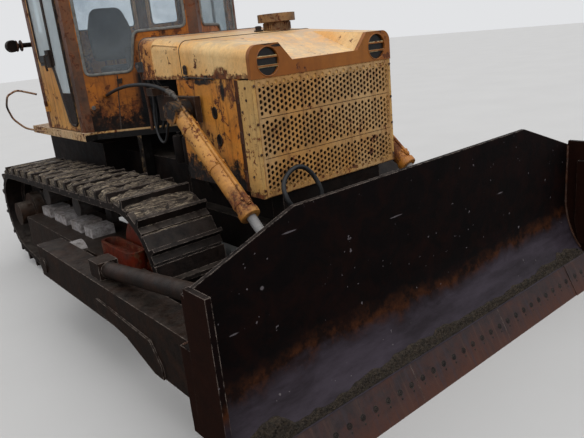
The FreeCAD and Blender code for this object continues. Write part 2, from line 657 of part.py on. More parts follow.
def toothed_outline(x):
    """The outer outline of the shoes: for each shoe a notch, a flat plate and a grouser."""
    wire = track_wire(0.0, x)
    count = round(wire.Length / size("shoe_pitch"))
    pitch = wire.Length / count
    gap, lug, place = size("shoe_gap"), size("lug_tall"), size("lug_place")
    half_tip, half_foot = size("lug_thick") / 2, size("lug_foot") / 2
    # Along the shoe from its front end, and out of its face
    shoe = [(0.0, -size("shoe_thick")), (gap, -size("shoe_thick")), (gap, 0.0),
            (place - half_foot, 0.0), (place - half_tip, lug),
            (place + half_tip, lug), (place + half_foot, 0.0), (pitch, 0.0)]
    edges = Part.__sortEdges__(wire.Edges)
    starts = []
    total = 0.0
    for edge in edges:
        starts.append(total)
        total += edge.Length

    def spot(run):
        """The point at a run along the path and the outward direction there."""
        run = run % total
        index = max(i for i, start in enumerate(starts) if start <= run)
        edge = edges[index]
        if edge.Orientation == "Reversed":
            along = edge.getParameterByLength(max(edge.Length - (run - starts[index]), 0.0))
            tangent = edge.tangentAt(along) * -1
        else:
            along = edge.getParameterByLength(min(run - starts[index], edge.Length))
            tangent = edge.tangentAt(along)
        return edge.valueAt(along), Vector(0, -tangent.z, tangent.y)

    middle = Vector(x, (size("idler_y") + size("sprocket_y")) / 2, size(IDLER_Z))
    place_there, outward_there = spot(total / 10)
    flip = 1 if outward_there.dot(place_there - middle) > 0 else -1
    corners = []
    for number in range(count):
        centre, outward = spot((number + 0.5) * pitch)
        outward = outward * flip
        forward = Vector(0, outward.z, -outward.y)
        ahead = spot((number + 0.6) * pitch)[0] - centre
        if forward.dot(ahead) < 0:
            forward = forward * -1
        for run, rise in shoe:
            corners.append(centre + forward * (run - pitch / 2) + outward * rise)
    return Part.makePolygon(corners + [corners[0]])


CHAIN_LAP = "shoe_seat / 6"


def track_solid(side):
    middle = side * size(WHEEL_X)
    shoe_x = middle - size("shoe_wide") / 2
    link_x = middle - size("link_wide") / 2
    seat = size("shoe_thick") + size("shoe_seat")
    shoes = Part.Face([toothed_outline(shoe_x)])
    inner = Part.Face(track_wire(-seat, shoe_x))
    plates = shoes.cut(inner).extrude(Vector(size("shoe_wide"), 0, 0))
    chain_out = Part.Face(track_wire(-seat + size(CHAIN_LAP), link_x))
    chain_in = Part.Face(track_wire(-size(CHAIN_DEEP), link_x))
    chain = chain_out.cut(chain_in).extrude(Vector(size("link_wide"), 0, 0))
    return plates.fuse(chain).removeSplitter()


for name, side in SIDES:
    formed("track_" + name, track_solid(side))


# Half of a tooth at its tip and at its foot, as shares of the pitch
TOOTH_TIP, TOOTH_FOOT = 0.16, 0.32


def sprocket_disc(side):
    """The rear wheel's disc, whose teeth stand between the chain's pins."""
    tip_r = size("sprocket_shoe_r - wheel_play") - size(CHAIN_DEEP)
    teeth = int(size("sprocket_teeth"))
    ring = []
    for tooth in range(teeth):
        for turn, drop in ((-TOOTH_FOOT, 1), (-TOOTH_TIP, 0), (TOOTH_TIP, 0), (TOOTH_FOOT, 1)):
            circle = (size("sprocket_y"), size("sprocket_z"), tip_r - drop * size("tooth_deep"))
            x = side * size(WHEEL_X) - size("sprocket_thick") / 2
            ring.append(at(polar(circle, 2 * math.pi * (tooth + turn) / teeth), x))
    return flat_face(ring).extrude(Vector(size("sprocket_thick"), 0, 0))


idlers, sprockets, drives, lower_rollers = [], [], [], []
chain_edge = (WHEEL_X + " - link_wide / 2", WHEEL_X + " + link_wide / 2")
idler_at = ("idler_y", IDLER_Z)
sprocket_at = ("sprocket_y", "sprocket_z")
for name, side in SIDES:
    between = reach(side, BEAM_IN + " + beam_thick", BEAM_OUT + " - beam_thick")
    rim = reach(side, chain_edge[0] + " + rim_in", chain_edge[1] + " - rim_in")
    idlers.append(fused("idler", [
        round_bar("X", *rim, "idler_shoe_r - wheel_play - " + CHAIN_DEEP, *idler_at),
        round_bar("X", *reach(side, *chain_edge), "idler_hub_r", *idler_at),
        round_bar("X", *between, "axle_r", *idler_at),
    ]))
    plate = doc.addObject("Part::Feature", "sprocket_plate")
    plate.Shape = sprocket_disc(side)
    sprockets.append(plate)
    drives.append(fused("final_drive", [
        round_bar("X", *reach(side, HOUSING_HALF, BEAM_IN + " + post_wide"), "drive_r", *sprocket_at),
        round_bar("X", *reach(side, HOUSING_HALF, WHEEL_X + " - sprocket_thick / 2"),
                  "drive_neck_r", *sprocket_at),
    ]))
    outer_start = WHEEL_X + " + sprocket_thick / 2"
    drives.append(fused("outer_bearing", [
        round_bar("X", *reach(side, outer_start, outer_start + " + bearing_deep"),
                  "bearing_r", *sprocket_at),
        round_bar("X", *reach(side, outer_start, BEAM_OUT + " - slide_in / 2"),
                  "bearing_cap_r", *sprocket_at),
    ]))
    for number in range(int(size("roller_count"))):
        spot = ("roller_first_y + %d * roller_step" % number,
                "lug_tall + roller_r + wheel_play + " + CHAIN_DEEP)
        roller_edge = reach(side, WHEEL_X + " - roller_wide / 2", WHEEL_X + " + roller_wide / 2")
        lower_rollers.append(fused("lower_roller", [
            round_bar("X", *roller_edge, "roller_r", *spot),
            round_bar("X", *between, "axle_r", *spot),
        ]))

gathered("idlers", idlers)
gathered("sprockets", sprockets)
gathered("final_drives", drives)
gathered("lower_rollers", lower_rollers)

BEAM_LAP = "beam_thick / 5"
ARM_CLEAR = "6 * pivot_play"

# Castings on the frame's cover, from the front: start and end along the machine
CASTINGS = [
    ("carrier_front_y - 330", "carrier_front_y - 170"),
    ("carrier_front_y - 90", "carrier_front_y + 130"),
    ("carrier_front_y + 260", "carrier_rear_y - 200"),
    ("carrier_rear_y - 100", "carrier_rear_y + 120"),
]

for name, side in SIDES:
    height = ("beam_low_z", "beam_top_z")
    length = ("beam_front_y", "beam_rear_y")
    casting_x = reach(side, WHEEL_X + " - casting_wide / 3", WHEEL_X + " + casting_wide * 2 / 3")
    castings = [box(casting_x, y, ("beam_top_z - cover_thick", "beam_top_z + casting_tall"))
                for y in CASTINGS]
    joined("track_frame_" + name, [
        box(reach(side, BEAM_IN, BEAM_IN + " + beam_thick"), length, height),
        box(reach(side, BEAM_OUT + " - beam_thick", BEAM_OUT), length, height),
        box(reach(side, BEAM_IN, BEAM_OUT), ("cover_front_y", "beam_rear_y"),
            ("beam_top_z - cover_thick", "beam_top_z")),
        box(reach(side, HOUSING_HALF, BEAM_IN),
            ("cross_shaft_y - cross_shaft_half", "cross_shaft_y + cross_shaft_half"),
            ("housing_low_z + cross_shaft_lift", "beam_top_z")),
        round_bar("X", *reach(side, BEAM_OUT + " - " + BEAM_LAP, ARM_IN + " - " + ARM_CLEAR),
                  "arm_pivot_boss_r", "arm_pivot_y", "arm_pivot_z"),
        round_bar("X", *reach(side, BEAM_OUT + " - " + BEAM_LAP, ARM_OUT + " + arm_pivot_end"),
                  "arm_pivot_r", "arm_pivot_y", "arm_pivot_z"),
    ] + castings)


def stadium(x, y, z, radius):
    """An upright block with round ends, as long as y says; the ends have the given radius."""
    middle = "((%s) + (%s)) / 2" % x
    return fused("stadium", [
        box(x, (y[0] + " + " + radius, y[1] + " - " + radius), z),
        round_bar("Z", *z, radius, middle, y[0] + " + " + radius),
        round_bar("Z", *z, radius, middle, y[1] + " - " + radius),
    ])


# Bearing slides of the front wheels, hollow on top
slides = []
for name, side in SIDES:
    x = reach(side, BEAM_OUT + " - slide_in - slide_wide", BEAM_OUT + " - slide_in")
    inner = (x[0] + " + slide_wall", x[1] + " - slide_wall")
    slide = stadium(x, ("slide_front_y", "slide_rear_y"), ("beam_top_z", "beam_top_z + slide_tall"),
                    "slide_wide / 2")
    hollow = stadium(inner, ("slide_front_y + slide_wall", "slide_rear_y - slide_wall"),
                     ("beam_top_z + slide_tall - slide_deep", "beam_top_z + slide_tall + 1"),
                     "(slide_wide / 2 - slide_wall)")
    groove = round_bar("X", *x, "axle_r + wheel_play", *idler_at)
    slides.append(cut_from(cut_from(slide, hollow), groove))
gathered("idler_bearings", slides)

# Upper rollers stand on posts of the track frame and carry the chain's upper run
path = loop_path(-size(CHAIN_DEEP))
upper_rollers = []
for name, side in SIDES:
    for y in ("carrier_front_y", "carrier_rear_y"):
        share = (size(y) - path[0][0]) / (path[1][0] - path[0][0])
        run_z = path[0][1] + share * (path[1][1] - path[0][1])
        centre_z = "%.1f" % (run_z - size("carrier_r + 2 * wheel_play"))
        post = reach(side, BEAM_IN + " + " + BEAM_LAP, BEAM_IN + " + post_wide + " + BEAM_LAP)
        upper_rollers.append(fused("upper_roller", [
            box(post, (y + " - post_half", y + " + post_half"), ("beam_top_z", centre_z + " + post_half")),
            round_bar("X", *reach(side, BEAM_IN + " + " + BEAM_LAP, WHEEL_X), "axle_r", y, centre_z),
            round_bar("X", *reach(side, *chain_edge), "carrier_r", y, centre_z),
        ]))
gathered("upper_rollers", upper_rollers)

plain_block("equaliser_beam", ("-" + BEAM_IN, BEAM_IN),
            ("equaliser_y - equaliser_deep / 2", "equaliser_y + equaliser_deep / 2"),
            ("rail_low_z - belly_thick - equaliser_tall", "rail_low_z - belly_thick"))

# Main frame, housings and engine

RAIL_OUT = "(rail_inner_x + rail_wide)"
rails = [box(reach(side, "rail_inner_x", RAIL_OUT), ("frame_front_y", "frame_rear_y"),
             ("rail_low_z", "rail_top_z")) for name, side in SIDES]
joined("main_frame", rails + [
    box(("-" + RAIL_OUT, RAIL_OUT), ("frame_front_y", "cowl_deep"), ("rail_low_z", "cowl_low_z")),
    box(("-" + RAIL_OUT, RAIL_OUT), ("frame_front_y", "frame_rear_y"),
        ("rail_low_z - belly_thick", "rail_low_z")),
])

housing = body("rear_housing")
pad(housing, "YZ_Plane", "-" + HOUSING_HALF, HOUSING_HALF, [
    ("frame_rear_y", "housing_low_z"), ("housing_rear_y - housing_slope", "housing_low_z"),
    ("housing_rear_y", "housing_low_z + housing_rise"), ("housing_rear_y", "housing_top_z"),
    ("frame_rear_y", "housing_top_z")])
plain_block("gearbox", ("-rail_inner_x", "rail_inner_x"), ("engine_rear_y", "frame_rear_y"),
            ("rail_low_z", "gearbox_top_z"))
plain_block("engine_block", ("-rail_inner_x", "rail_inner_x"), ("engine_front_y", "engine_rear_y"),
            ("rail_low_z", "engine_top_z"))

# Radiator and grille

CORE_HALF = "(cowl_half - cowl_skin)"
plain_block("radiator_core", ("-" + CORE_HALF, CORE_HALF), ("core_front_y", "cowl_deep - core_in"),
            ("cowl_low_z + cowl_skin", "cowl_top_z - cowl_skin"))
cowl = body("radiator_cowl")
pad(cowl, "XZ_Plane", "grille_thick", "cowl_deep",
    rectangle("-cowl_half", "cowl_half", "cowl_low_z", "cowl_top_z"),
    rectangle("-" + CORE_HALF, CORE_HALF, "cowl_low_z + cowl_skin", "cowl_top_z - cowl_skin"))


def grille_sheet(low, high):
    """One perforated sheet: columns of round holes, every other column half a step higher."""
    half = size("cowl_half - grille_in")
    step_x, step_z, hole_r = size("hole_step_x"), size("hole_step_z"), size("hole_r")
    margin = hole_r + size("hole_edge")
    columns = 2 * int((half - margin) / step_x + 0.5)
    wires = [Part.makePolygon([Vector(x, 0, z) for x, z in
                               ((-half, low), (half, low), (half, high), (-half, high), (-half, low))])]
    for column in range(columns):
        x = (column - (columns - 1) / 2) * step_x
        z = low + size("hole_foot") + (column % 2) * step_z / 2
        while z < high - margin:
            wires.append(Part.Wire(Part.makeCircle(hole_r, Vector(x, 0, z), Vector(0, 1, 0))))
            z += step_z
    return Part.Face(wires, "Part::FaceMakerBullseye").extrude(Vector(0, size("grille_thick"), 0))


seams = [size("cowl_low_z + grille_edge - grille_gap / 2"), size("grille_seam_low_z"),
         size("grille_seam_high_z"), size("cowl_top_z - grille_edge + grille_gap / 2")]
half_gap = size("grille_gap") / 2
formed("grille", Part.makeCompound([grille_sheet(low + half_gap, high - half_gap)
                                    for low, high in zip(seams, seams[1:])]))

# Nose plate with its lamp holes, and the hood with its sunken panel

RIM_HALF = "(cowl_half - lamp_in - lamp_r - slat_tall)"
LIP_HALF = "(cowl_half - lamp_in - lamp_r - slat_tall - lip_slope)"
nose = body("nose_panel")
pad(nose, "XZ_Plane", "0", "nose_thick", [
    ("-cowl_half", "cowl_top_z"), ("cowl_half", "cowl_top_z"), ("cowl_half", "nose_top_z"),
    (RIM_HALF, "nose_top_z"), (LIP_HALF, "lip_z"), ("-" + LIP_HALF, "lip_z"),
    ("-" + RIM_HALF, "nose_top_z"), ("-cowl_half", "nose_top_z")])
side_x = size("cowl_half")
rounded(nose, "hood_round", lambda p, d: abs(d.y) > 0.9 and abs(p.x) > side_x - 1
        and p.z > size("nose_top_z") - 1)
pocket(nose, "XZ_Plane", "0", "nose_thick + 1", ("circle", "-" + LAMP_X, "lamp_z", "lamp_r"),
       ("circle", LAMP_X, "lamp_z", "lamp_r"))
for up in ("lamp_z - slat_up", "lamp_z + slat_up"):
    for name, side in SIDES:
        pad(nose, "XZ_Plane", "slat_thick / 4", "slat_thick * 5 / 4", rectangle(
            *reach(side, LAMP_X + " - lamp_r", LAMP_X + " + lamp_r"), up + " - slat_tall / 2",
            up + " + slat_tall / 2"))
lamps = [fused("headlamp", [
    round_bar("Y", "lamp_recess", "nose_thick", "lamp_r", "%d * %s" % (side, LAMP_X), "lamp_z"),
    round_bar("Y", "lamp_recess", "lamp_deep", "lamp_bowl_r", "%d * %s" % (side, LAMP_X), "lamp_z"),
]) for name, side in SIDES]
gathered("headlamps", lamps)


def hood_block(inset):
    """The hood's outer form, or its inner form at an inset: sloping top and round shoulders."""
    half = size("cowl_half") - inset
    low = size(HOOD_LOW_Z) - inset
    front, rear = size("nose_thick"), size("hood_rear_y")
    corners = [(front, low), (rear, low), (rear, size("hood_rear_z") - inset),
               (front, size("nose_top_z") - inset)]
    block = side_plate(-half, 2 * half, corners)
    shoulders = [e for e in block.Edges if e.CenterOfMass.z > size("nose_top_z") - inset + 1
                 and abs(e.tangentAt(e.FirstParameter).y) > 0.9]
    return block.makeFillet(size("hood_round") - inset, shoulders)


# How far the wedge runs past the sunken panel's rim and past its rear end
PAST_RIM, PAST_END = 1.6, 1.4


def sunk_block(drop):
    """What the sunken panel takes away: a wedge with sloping sides that runs out to the rear."""
    front, rear = size("nose_thick"), size("sunk_rear_y")
    rise = (size("hood_rear_z") - size("nose_top_z")) / (size("hood_rear_y") - front)
    low = Vector(size(LIP_HALF), front, size("lip_z") - drop)
    rim = Vector(size(RIM_HALF), front, size("nose_top_z") - drop)
    run_out = Vector(rim.x - size("lip_taper"), rear, size("nose_top_z") - drop + rise * (rear - front))
    high = low + (rim - low) * PAST_RIM
    back = low + (run_out - low) * PAST_END

    def other(p):
        return Vector(-p.x, p.y, p.z)

    faces = [[other(low), low, high, other(high)], [other(low), low, back, other(back)],
             [other(high), high, back, other(back)], [low, high, back],
             [other(low), other(high), other(back)]]
    return Part.Solid(Part.Shell([flat_face(face) for face in faces]))


sunk = sunk_block(0)
cavity = hood_block(size("hood_skin")).cut(sunk_block(size("hood_skin")))
formed("hood", hood_block(0).cut(sunk).cut(cavity).removeSplitter())

side_panels = [box(reach(side, PANEL_X + " - panel_thick", PANEL_X), ("cowl_deep", "panel_rear_y"),
                   ("panel_low_z", HOOD_LOW_Z)) for name, side in SIDES]
gathered("engine_side_panels", side_panels)

# Air pre-cleaner on the hood

HOOD_SLOPE = "((hood_rear_z - nose_top_z) / (hood_rear_y - nose_thick))"
CLEANER_X = "(cowl_half - precleaner_in)"
CLEANER_Z = "(nose_top_z + %s * (precleaner_y - nose_thick))" % HOOD_SLOPE
cleaner = body("air_precleaner")
cleaner_at = ("circle", CLEANER_X, "precleaner_y")
pad(cleaner, "XY_Plane", CLEANER_Z + " - hood_skin", CLEANER_Z + " + precleaner_low",
    (*cleaner_at, "precleaner_neck_r"))
pad(cleaner, "XY_Plane", CLEANER_Z + " + precleaner_low", CLEANER_Z + " + precleaner_low + precleaner_cap",
    (*cleaner_at, "precleaner_r"))
pocket(cleaner, "YZ_Plane", CLEANER_X + " - precleaner_r", CLEANER_X + " + precleaner_r", [
    ("precleaner_y - precleaner_r", "%s - %s * precleaner_r" % (CLEANER_Z, HOOD_SLOPE)),
    ("precleaner_y - precleaner_r", CLEANER_Z + " - 2 * hood_skin"),
    ("precleaner_y + precleaner_r", CLEANER_Z + " - 2 * hood_skin"),
    ("precleaner_y + precleaner_r", "%s + %s * precleaner_r" % (CLEANER_Z, HOOD_SLOPE))])

# Cab: a seven-sided plan with a pillar at each corner and a wall between two pillars

def plan(inset):
    """The cab's outline seen from above, moved inwards, as corner points from the front round the left."""
    half, rear_half = size("cab_half"), size("cab_rear_half")
    ring = [(0, size("cab_front_y")), (half, size("cab_mid_y")), (half, size("cab_side_rear_y")),
            (rear_half, size("cab_rear_y")), (-rear_half, size("cab_rear_y")),
            (-half, size("cab_side_rear_y")), (-half, size("cab_mid_y"))]
    if inset == 0:
        return ring
    wire = Part.makePolygon([Vector(x, y, 0) for x, y in ring + ring[:1]])
    moved = wire.makeOffset2D(-inset, 2)
    return [(v.X, v.Y) for v in moved.OrderedVertexes]


def ring_solid(inset_out, inset_in, low, high):
    """The plan's prism between two heights, hollowed to an inner inset if one is given."""
    outer = flat_face([Vector(x, y, low) for x, y in plan(inset_out)])
    if inset_in is not None:
        outer = outer.cut(flat_face([Vector(x, y, low) for x, y in plan(inset_in)]))
    return outer.extrude(Vector(0, 0, high - low))


corners = plan(0)


def cab_pillar(index):
    """A pillar at a corner of the cab's plan: the wall ring within a pillar's reach of the corner."""
    x, y = corners[index]
    post = Part.makeCylinder(size("pillar_thick"), size("cab_eave_z - cab_floor_z"),
                             Vector(x, y, size("cab_floor_z")))
    ring = ring_solid(0, size("cab_wall"), size("cab_floor_z"), size("cab_eave_z"))
    return ring.common(post)


def facet(index, window, thick, clear=0.0):
    """A flat cab wall between two pillars, with one window given as (run from the first corner, height)."""
    start = Vector(*corners[index], 0)
    end = Vector(*corners[(index + 1) % len(corners)], 0)
    length = (end - start).Length
    along = (end - start).normalize()
    inward = Vector(-along.y, along.x, 0)
    low, high = size("cab_floor_z") + clear, size("cab_eave_z") - clear
    near, far = size("pillar_thick") + clear, length - size("pillar_thick") - clear

    def spots(points):
        return [start + along * run + UP * z for run, z in points]

    wall = flat_face(spots([(near, low), (far, low), (far, high), (near, high)]))
    opening = Part.Face(rounded_outline(spots(window), size("pane_round")))
    return wall.cut(opening).extrude(inward * thick), opening.extrude(inward * size("pane_thick"))


def hinge_half(side, low, towards_door):
    """Half of a door hinge: a knuckle on the hinge's axis with its leaf; the pillar's half holds the pin."""
    knuckle_r, tall, leaf = size("hinge_r"), size("hinge_tall"), size("hinge_leaf")
    stand = knuckle_r + size("hinge_stand")
    axis_x = side * (size("cab_half") + stand)
    axis_y = size("cab_side_rear_y - pillar_thick - door_gap / 2")
    foot = Vector(axis_x, axis_y, low)
    knuckle = Part.makeCylinder(knuckle_r, tall, foot, UP)
    leaf_y = axis_y - leaf if towards_door else axis_y
    plate = Part.makeBox(stand, leaf, tall, Vector(min(side * size("cab_half"), axis_x), leaf_y, low))
    half_hinge = knuckle.fuse(plate)
    if towards_door:
        bore = Part.makeCylinder(size("hinge_pin_r + hinge_play"), tall + 2, foot - UP, UP)
        return half_hinge.cut(bore)
    joint = size("hinge_stand")
    pin = Part.makeCylinder(size("hinge_pin_r"), 2 * (tall + joint), foot - UP * (tall + 2 * joint), UP)
    return half_hinge.fuse(pin)


def hinges(side, towards_door):
    lift = 0 if towards_door else size("hinge_tall + hinge_stand")
    return [hinge_half(side, size(name) + lift, towards_door) for name in ("hinge_low_z", "hinge_high_z")]


pillar_solids = []
for index in range(len(corners)):
    pillar = cab_pillar(index)
    if corners[index][1] == size("cab_side_rear_y"):
        pillar = pillar.fuse(hinges(1 if corners[index][0] > 0 else -1, False)).removeSplitter()
    pillar_solids.append(pillar)
formed("cab_pillars", Part.makeCompound(pillar_solids))

# Front walls: the windscreen's lower edge steps down beside the hood
facet_long = math.hypot(size("cab_half"), size("cab_mid_y - cab_front_y"))
edge_in = size("pillar_thick + window_edge")
top, low_z, step_z = size("window_top_z"), size("windscreen_low_z"), size("windscreen_step_z")
step_run = size("windscreen_step_run")
screen = [(edge_in, step_z), (step_run - size("windscreen_slant"), step_z), (step_run, low_z),
          (facet_long - edge_in, low_z), (facet_long - edge_in, top), (edge_in, top)]
front_walls, panes = [], []
for index, outline in ((0, screen), (6, [(facet_long - run, z) for run, z in reversed(screen)])):
    side = 1 if index == 0 else -1
    wall, pane = facet(index, outline, size("cab_wall"))
    wall_y = size("cab_front_y") + size("gland_x") / size("cab_half") * size("cab_mid_y - cab_front_y")
    gland = Part.makeCylinder(size("gland_r"), size("gland_out + gland_r"),
                              Vector(side * size("gland_x"), wall_y - size("gland_out"), size("gland_z")),
                              Vector(0, 1, 0))
    front_walls.append(wall.fuse(gland).removeSplitter())
    panes.append(pane)
formed("cab_front_walls", Part.makeCompound(front_walls))

rear_walls = []
for index in (2, 3, 4):
    (near_x, near_y), (far_x, far_y) = corners[index], corners[index + 1]
    long = math.hypot(far_x - near_x, far_y - near_y)
    low_rear = size("rear_window_low_z")
    outline = [(edge_in, low_rear), (long - edge_in, low_rear), (long - edge_in, top), (edge_in, top)]
    wall, pane = facet(index, outline, size("cab_wall"))
    rear_walls.append(wall)
    panes.append(pane)
formed("cab_rear_walls", Part.makeCompound(rear_walls))
formed("cab_glass", Part.makeCompound(panes))

# Doors hang on the rear side pillars. Their window reaches low in front and steps up to the rear
door_long = size("cab_side_rear_y - cab_mid_y")
rim = size("pillar_thick + door_gap + door_rim")
foot_end = rim + size("door_window_foot")
low_z, step_z = size("door_window_low_z"), size("door_window_step_z")
front_rim = size("pillar_thick + door_gap + door_rim_front")
door_window = [(front_rim, low_z), (foot_end, low_z), (foot_end + size("door_window_slant"), step_z),
               (door_long - rim, step_z), (door_long - rim, top), (front_rim, top)]
mirrored = [(door_long - run, z) for run, z in reversed(door_window)]
for name, side in SIDES:
    index = corners.index((side * size("cab_half"), size("cab_mid_y" if side > 0 else "cab_side_rear_y")))
    panel, pane = facet(index, door_window if side > 0 else mirrored, size("door_thick"), size("door_gap"))
    formed("door_" + name, panel.fuse(hinges(side, True)).removeSplitter())
    formed("door_glass_" + name, pane)

roof = ring_solid(-size("roof_over"), None, size("cab_eave_z"), size("cab_roof_z"))
roof_edges = [e for e in roof.Edges if abs(e.tangentAt(e.FirstParameter).z) < 0.01
              and e.CenterOfMass.z > size("cab_roof_z") - 1]
formed("cab_roof", roof.makeChamfer(size("roof_chamfer"), roof_edges))

floor_ring = box(("-" + FLOOR_HALF, FLOOR_HALF), ("cab_mid_y - cab_floor_step", "cab_rear_y"),
                 ("cab_floor_low_z", "cab_floor_z"))
nose_floor = doc.addObject("PartDesign::Body", "floor_nose")
pad(nose_floor, "XY_Plane", "cab_floor_low_z", "cab_floor_z", [
    ("0", "cab_front_y"), ("cab_half", "cab_mid_y"), ("-cab_half", "cab_mid_y")])
mounts = []
for name, side in SIDES:
    for y, low in (("mount_front_y", "rail_top_z"), ("mount_rear_y", "housing_top_z")):
        mounts.append(box(reach(side, "mount_x - mount_half", "mount_x + mount_half"),
                          (y + " - mount_half", y + " + mount_half"), (low, "cab_floor_low_z")))
joined("cab_floor", [floor_ring, nose_floor] + mounts)

scuttle = body("scuttle")
CAB_SLOPE = "((cab_mid_y - cab_front_y) / cab_half)"
SCUTTLE_REAR = "(cab_front_y + %s * %s - scuttle_gap)" % (SCUTTLE_HALF, CAB_SLOPE)
pad(scuttle, "XY_Plane", HOOD_LOW_Z + " + scuttle_low", "hood_rear_z - scuttle_drop", [
    ("-" + SCUTTLE_HALF, "hood_rear_y"), (SCUTTLE_HALF, "hood_rear_y"), (SCUTTLE_HALF, SCUTTLE_REAR),
    ("0", "cab_front_y - scuttle_gap"), ("-" + SCUTTLE_HALF, SCUTTLE_REAR)])

# Rear lamp bar on the cab's rear wall

BAR_Y = "(cab_rear_y + rear_bar_off)"
bar_solids = [round_bar("X", "-rear_bar_half", "rear_bar_half", "rear_bar_r", BAR_Y, "rear_bar_z")]
for name, side in SIDES:
    bar_solids.append(box(
        reach(side, "rear_bar_foot_x - rear_bar_foot / 2", "rear_bar_foot_x + rear_bar_foot / 2"),
        ("cab_rear_y", BAR_Y), ("rear_bar_z - rear_bar_foot / 2", "rear_bar_z + rear_bar_foot / 2")))
    bar_solids.append(round_bar("Y", BAR_Y + " - rear_lamp_deep / 2", BAR_Y + " + rear_lamp_deep / 2",
                                "rear_lamp_r", "%d * (rear_bar_half - rear_lamp_r)" % side, "rear_bar_z"))
joined("rear_bar", bar_solids)

# Seat and console

SEAT_REAR = "(seat_front_y + seat_deep)"
seat = body("seat")
pad(seat, "YZ_Plane", "-seat_half", "seat_half", [
    ("seat_front_y", "cab_floor_z + seat_top - seat_pad"),
    (SEAT_REAR, "cab_floor_z + seat_top - seat_pad"),
    (SEAT_REAR + " + seat_lean", "cab_floor_z + seat_back"),
    (SEAT_REAR + " + seat_lean - seat_back_thick", "cab_floor_z + seat_back"),
    (SEAT_REAR + " - seat_back_thick", "cab_floor_z + seat_top"),
    ("seat_front_y", "cab_floor_z + seat_top")])
pad(seat, "XY_Plane", "cab_floor_z", "cab_floor_z + seat_top - seat_pad / 2",
    rectangle("-seat_base_half", "seat_base_half", "seat_front_y + seat_base_in",
              SEAT_REAR + " - seat_base_in"))
plain_block("console", ("-console_half", "console_half"),
            ("console_front_y", "console_front_y + console_deep"),
            ("cab_floor_z", "cab_floor_z + console_tall"))

TANK_Y = "(cab_rear_y + tank_gap)"
plain_block("fuel_tank", ("-" + HOUSING_HALF, HOUSING_HALF), (TANK_Y, TANK_Y + " + tank_deep"),
            ("housing_top_z", "cab_floor_z + tank_top"))
FOOT_Y = "(housing_rear_y - housing_slope)"
joined("drawbar", [
    cut_from(box(("-hitch_half", "hitch_half"), (FOOT_Y, "hitch_reach"), ("hitch_z - hitch_thick", "hitch_z")),
             round_bar("Z", "hitch_z - hitch_thick - 1", "hitch_z + 1", "hitch_bore_r", "0",
                       "hitch_reach - hitch_bore_in")),
    box(("-hitch_foot_half", "hitch_foot_half"), (FOOT_Y + " - hitch_foot_deep", FOOT_Y),
        ("hitch_z - hitch_thick", "housing_low_z")),
])

# Blade: an upright upper part, and below it an arc that reaches forwards to the cutting edge

half = size(BLADE_HALF)
foot_y, foot_z = size("blade_foot_y"), size("blade_foot_z")
bend_y, bend_z = size("blade_top_y"), size("blade_bend_z")
bend_r = ((bend_y - foot_y) ** 2 + (bend_z - foot_z) ** 2) / (2 * (bend_y - foot_y))
bend_centre = Vector(0, bend_y - bend_r, bend_z)
foot_angle = math.asin((bend_z - foot_z) / bend_r)


def face_points(offset, x):
    """The blade's face moved back by an offset: its foot, the arc's middle, its bend and its top."""
    radius = bend_r + offset

    def on_arc(angle):
        return bend_centre + Vector(x, radius * math.cos(angle), -radius * math.sin(angle))

    return on_arc(foot_angle), on_arc(foot_angle / 2), on_arc(0), Vector(x, bend_y + offset, size("blade_mid_z"))


def face_edges(offset, x):
    foot, middle, bend, high = face_points(offset, x)
    return [Part.Arc(foot, middle, bend).toShape(), Part.LineSegment(bend, high).toShape()]


def blade_section(front, rear, x):
    """A flat section between two offsets of the blade's face."""
    foot_f, foot_r = face_points(front, x)[0], face_points(rear, x)[0]
    high_f, high_r = face_points(front, x)[3], face_points(rear, x)[3]
    edges = face_edges(front, x) + face_edges(rear, x)
    edges += [Part.LineSegment(high_f, high_r).toShape(), Part.LineSegment(foot_r, foot_f).toShape()]
    return Part.Face(Part.Wire(Part.__sortEdges__(edges)))


def below_top_edge():
    """A deep prism, as high as the blade's top edge, which falls towards both ends."""
    kink = half - size("blade_fall")
    end_z, mid_z = size("blade_end_z"), size("blade_mid_z")
    ring = [(-half, foot_z), (half, foot_z), (half, end_z), (kink, mid_z), (-kink, mid_z), (-half, end_z)]
    front = -2 * size("blade_tip_reach")
    return flat_face([Vector(x, front, z) for x, z in ring]).extrude(Vector(0, -2 * front, 0))


def end_x(side, thick):
    """The low X of a plate at one end of the blade, with its outer face there."""
    return side * half - (thick if side > 0 else 0)


cheek_thick = size("cheek_thick")
cheek_corners = [(size("cheek_front_y"), size("cheek_low_z")),
                 (size("cheek_front_y"), size("blade_end_z + cheek_over")),
                 (size("cheek_top_y"), size("blade_end_z + cheek_over")),
                 (size("cheek_rear_y"), size("cheek_heel_z")),
                 (foot_y + (size("cheek_rear_y") - foot_y) / 4, size("cheek_low_z"))]
board = blade_section(0, size("blade_plate"), -half).extrude(Vector(2 * half, 0, 0))
cheeks = [side_plate(end_x(side, cheek_thick), cheek_thick, cheek_corners) for name, side in SIDES]
formed("mouldboard", board.common(below_top_edge()).fuse(cheeks).removeSplitter())

wing_x = half - cheek_thick * 2
formed("wing_plate", side_plate(wing_x, cheek_thick, [
    (size("wing_front_y"), size("wing_low_z")), (size("wing_front_y"), size("wing_top_z")),
    (size("wing_rear_y"), size("wing_top_z")), (size("wing_rear_y"), size("wing_low_z + wing_heel")),
    (size("wing_rear_y") - size("wing_heel") / 4, size("wing_low_z"))]))


def edge_piece(low, high, thick):
    """A piece of the cutting edge between two X values, flush with the others at its back."""
    tip_y = -size("blade_tip_reach")
    rear = size("edge_bit_thick")
    corners = [(tip_y + rear - thick, 0), (foot_y + rear - thick, foot_z), (foot_y + rear, foot_z),
               (tip_y + rear, 0)]
    return side_plate(low, high - low, corners)


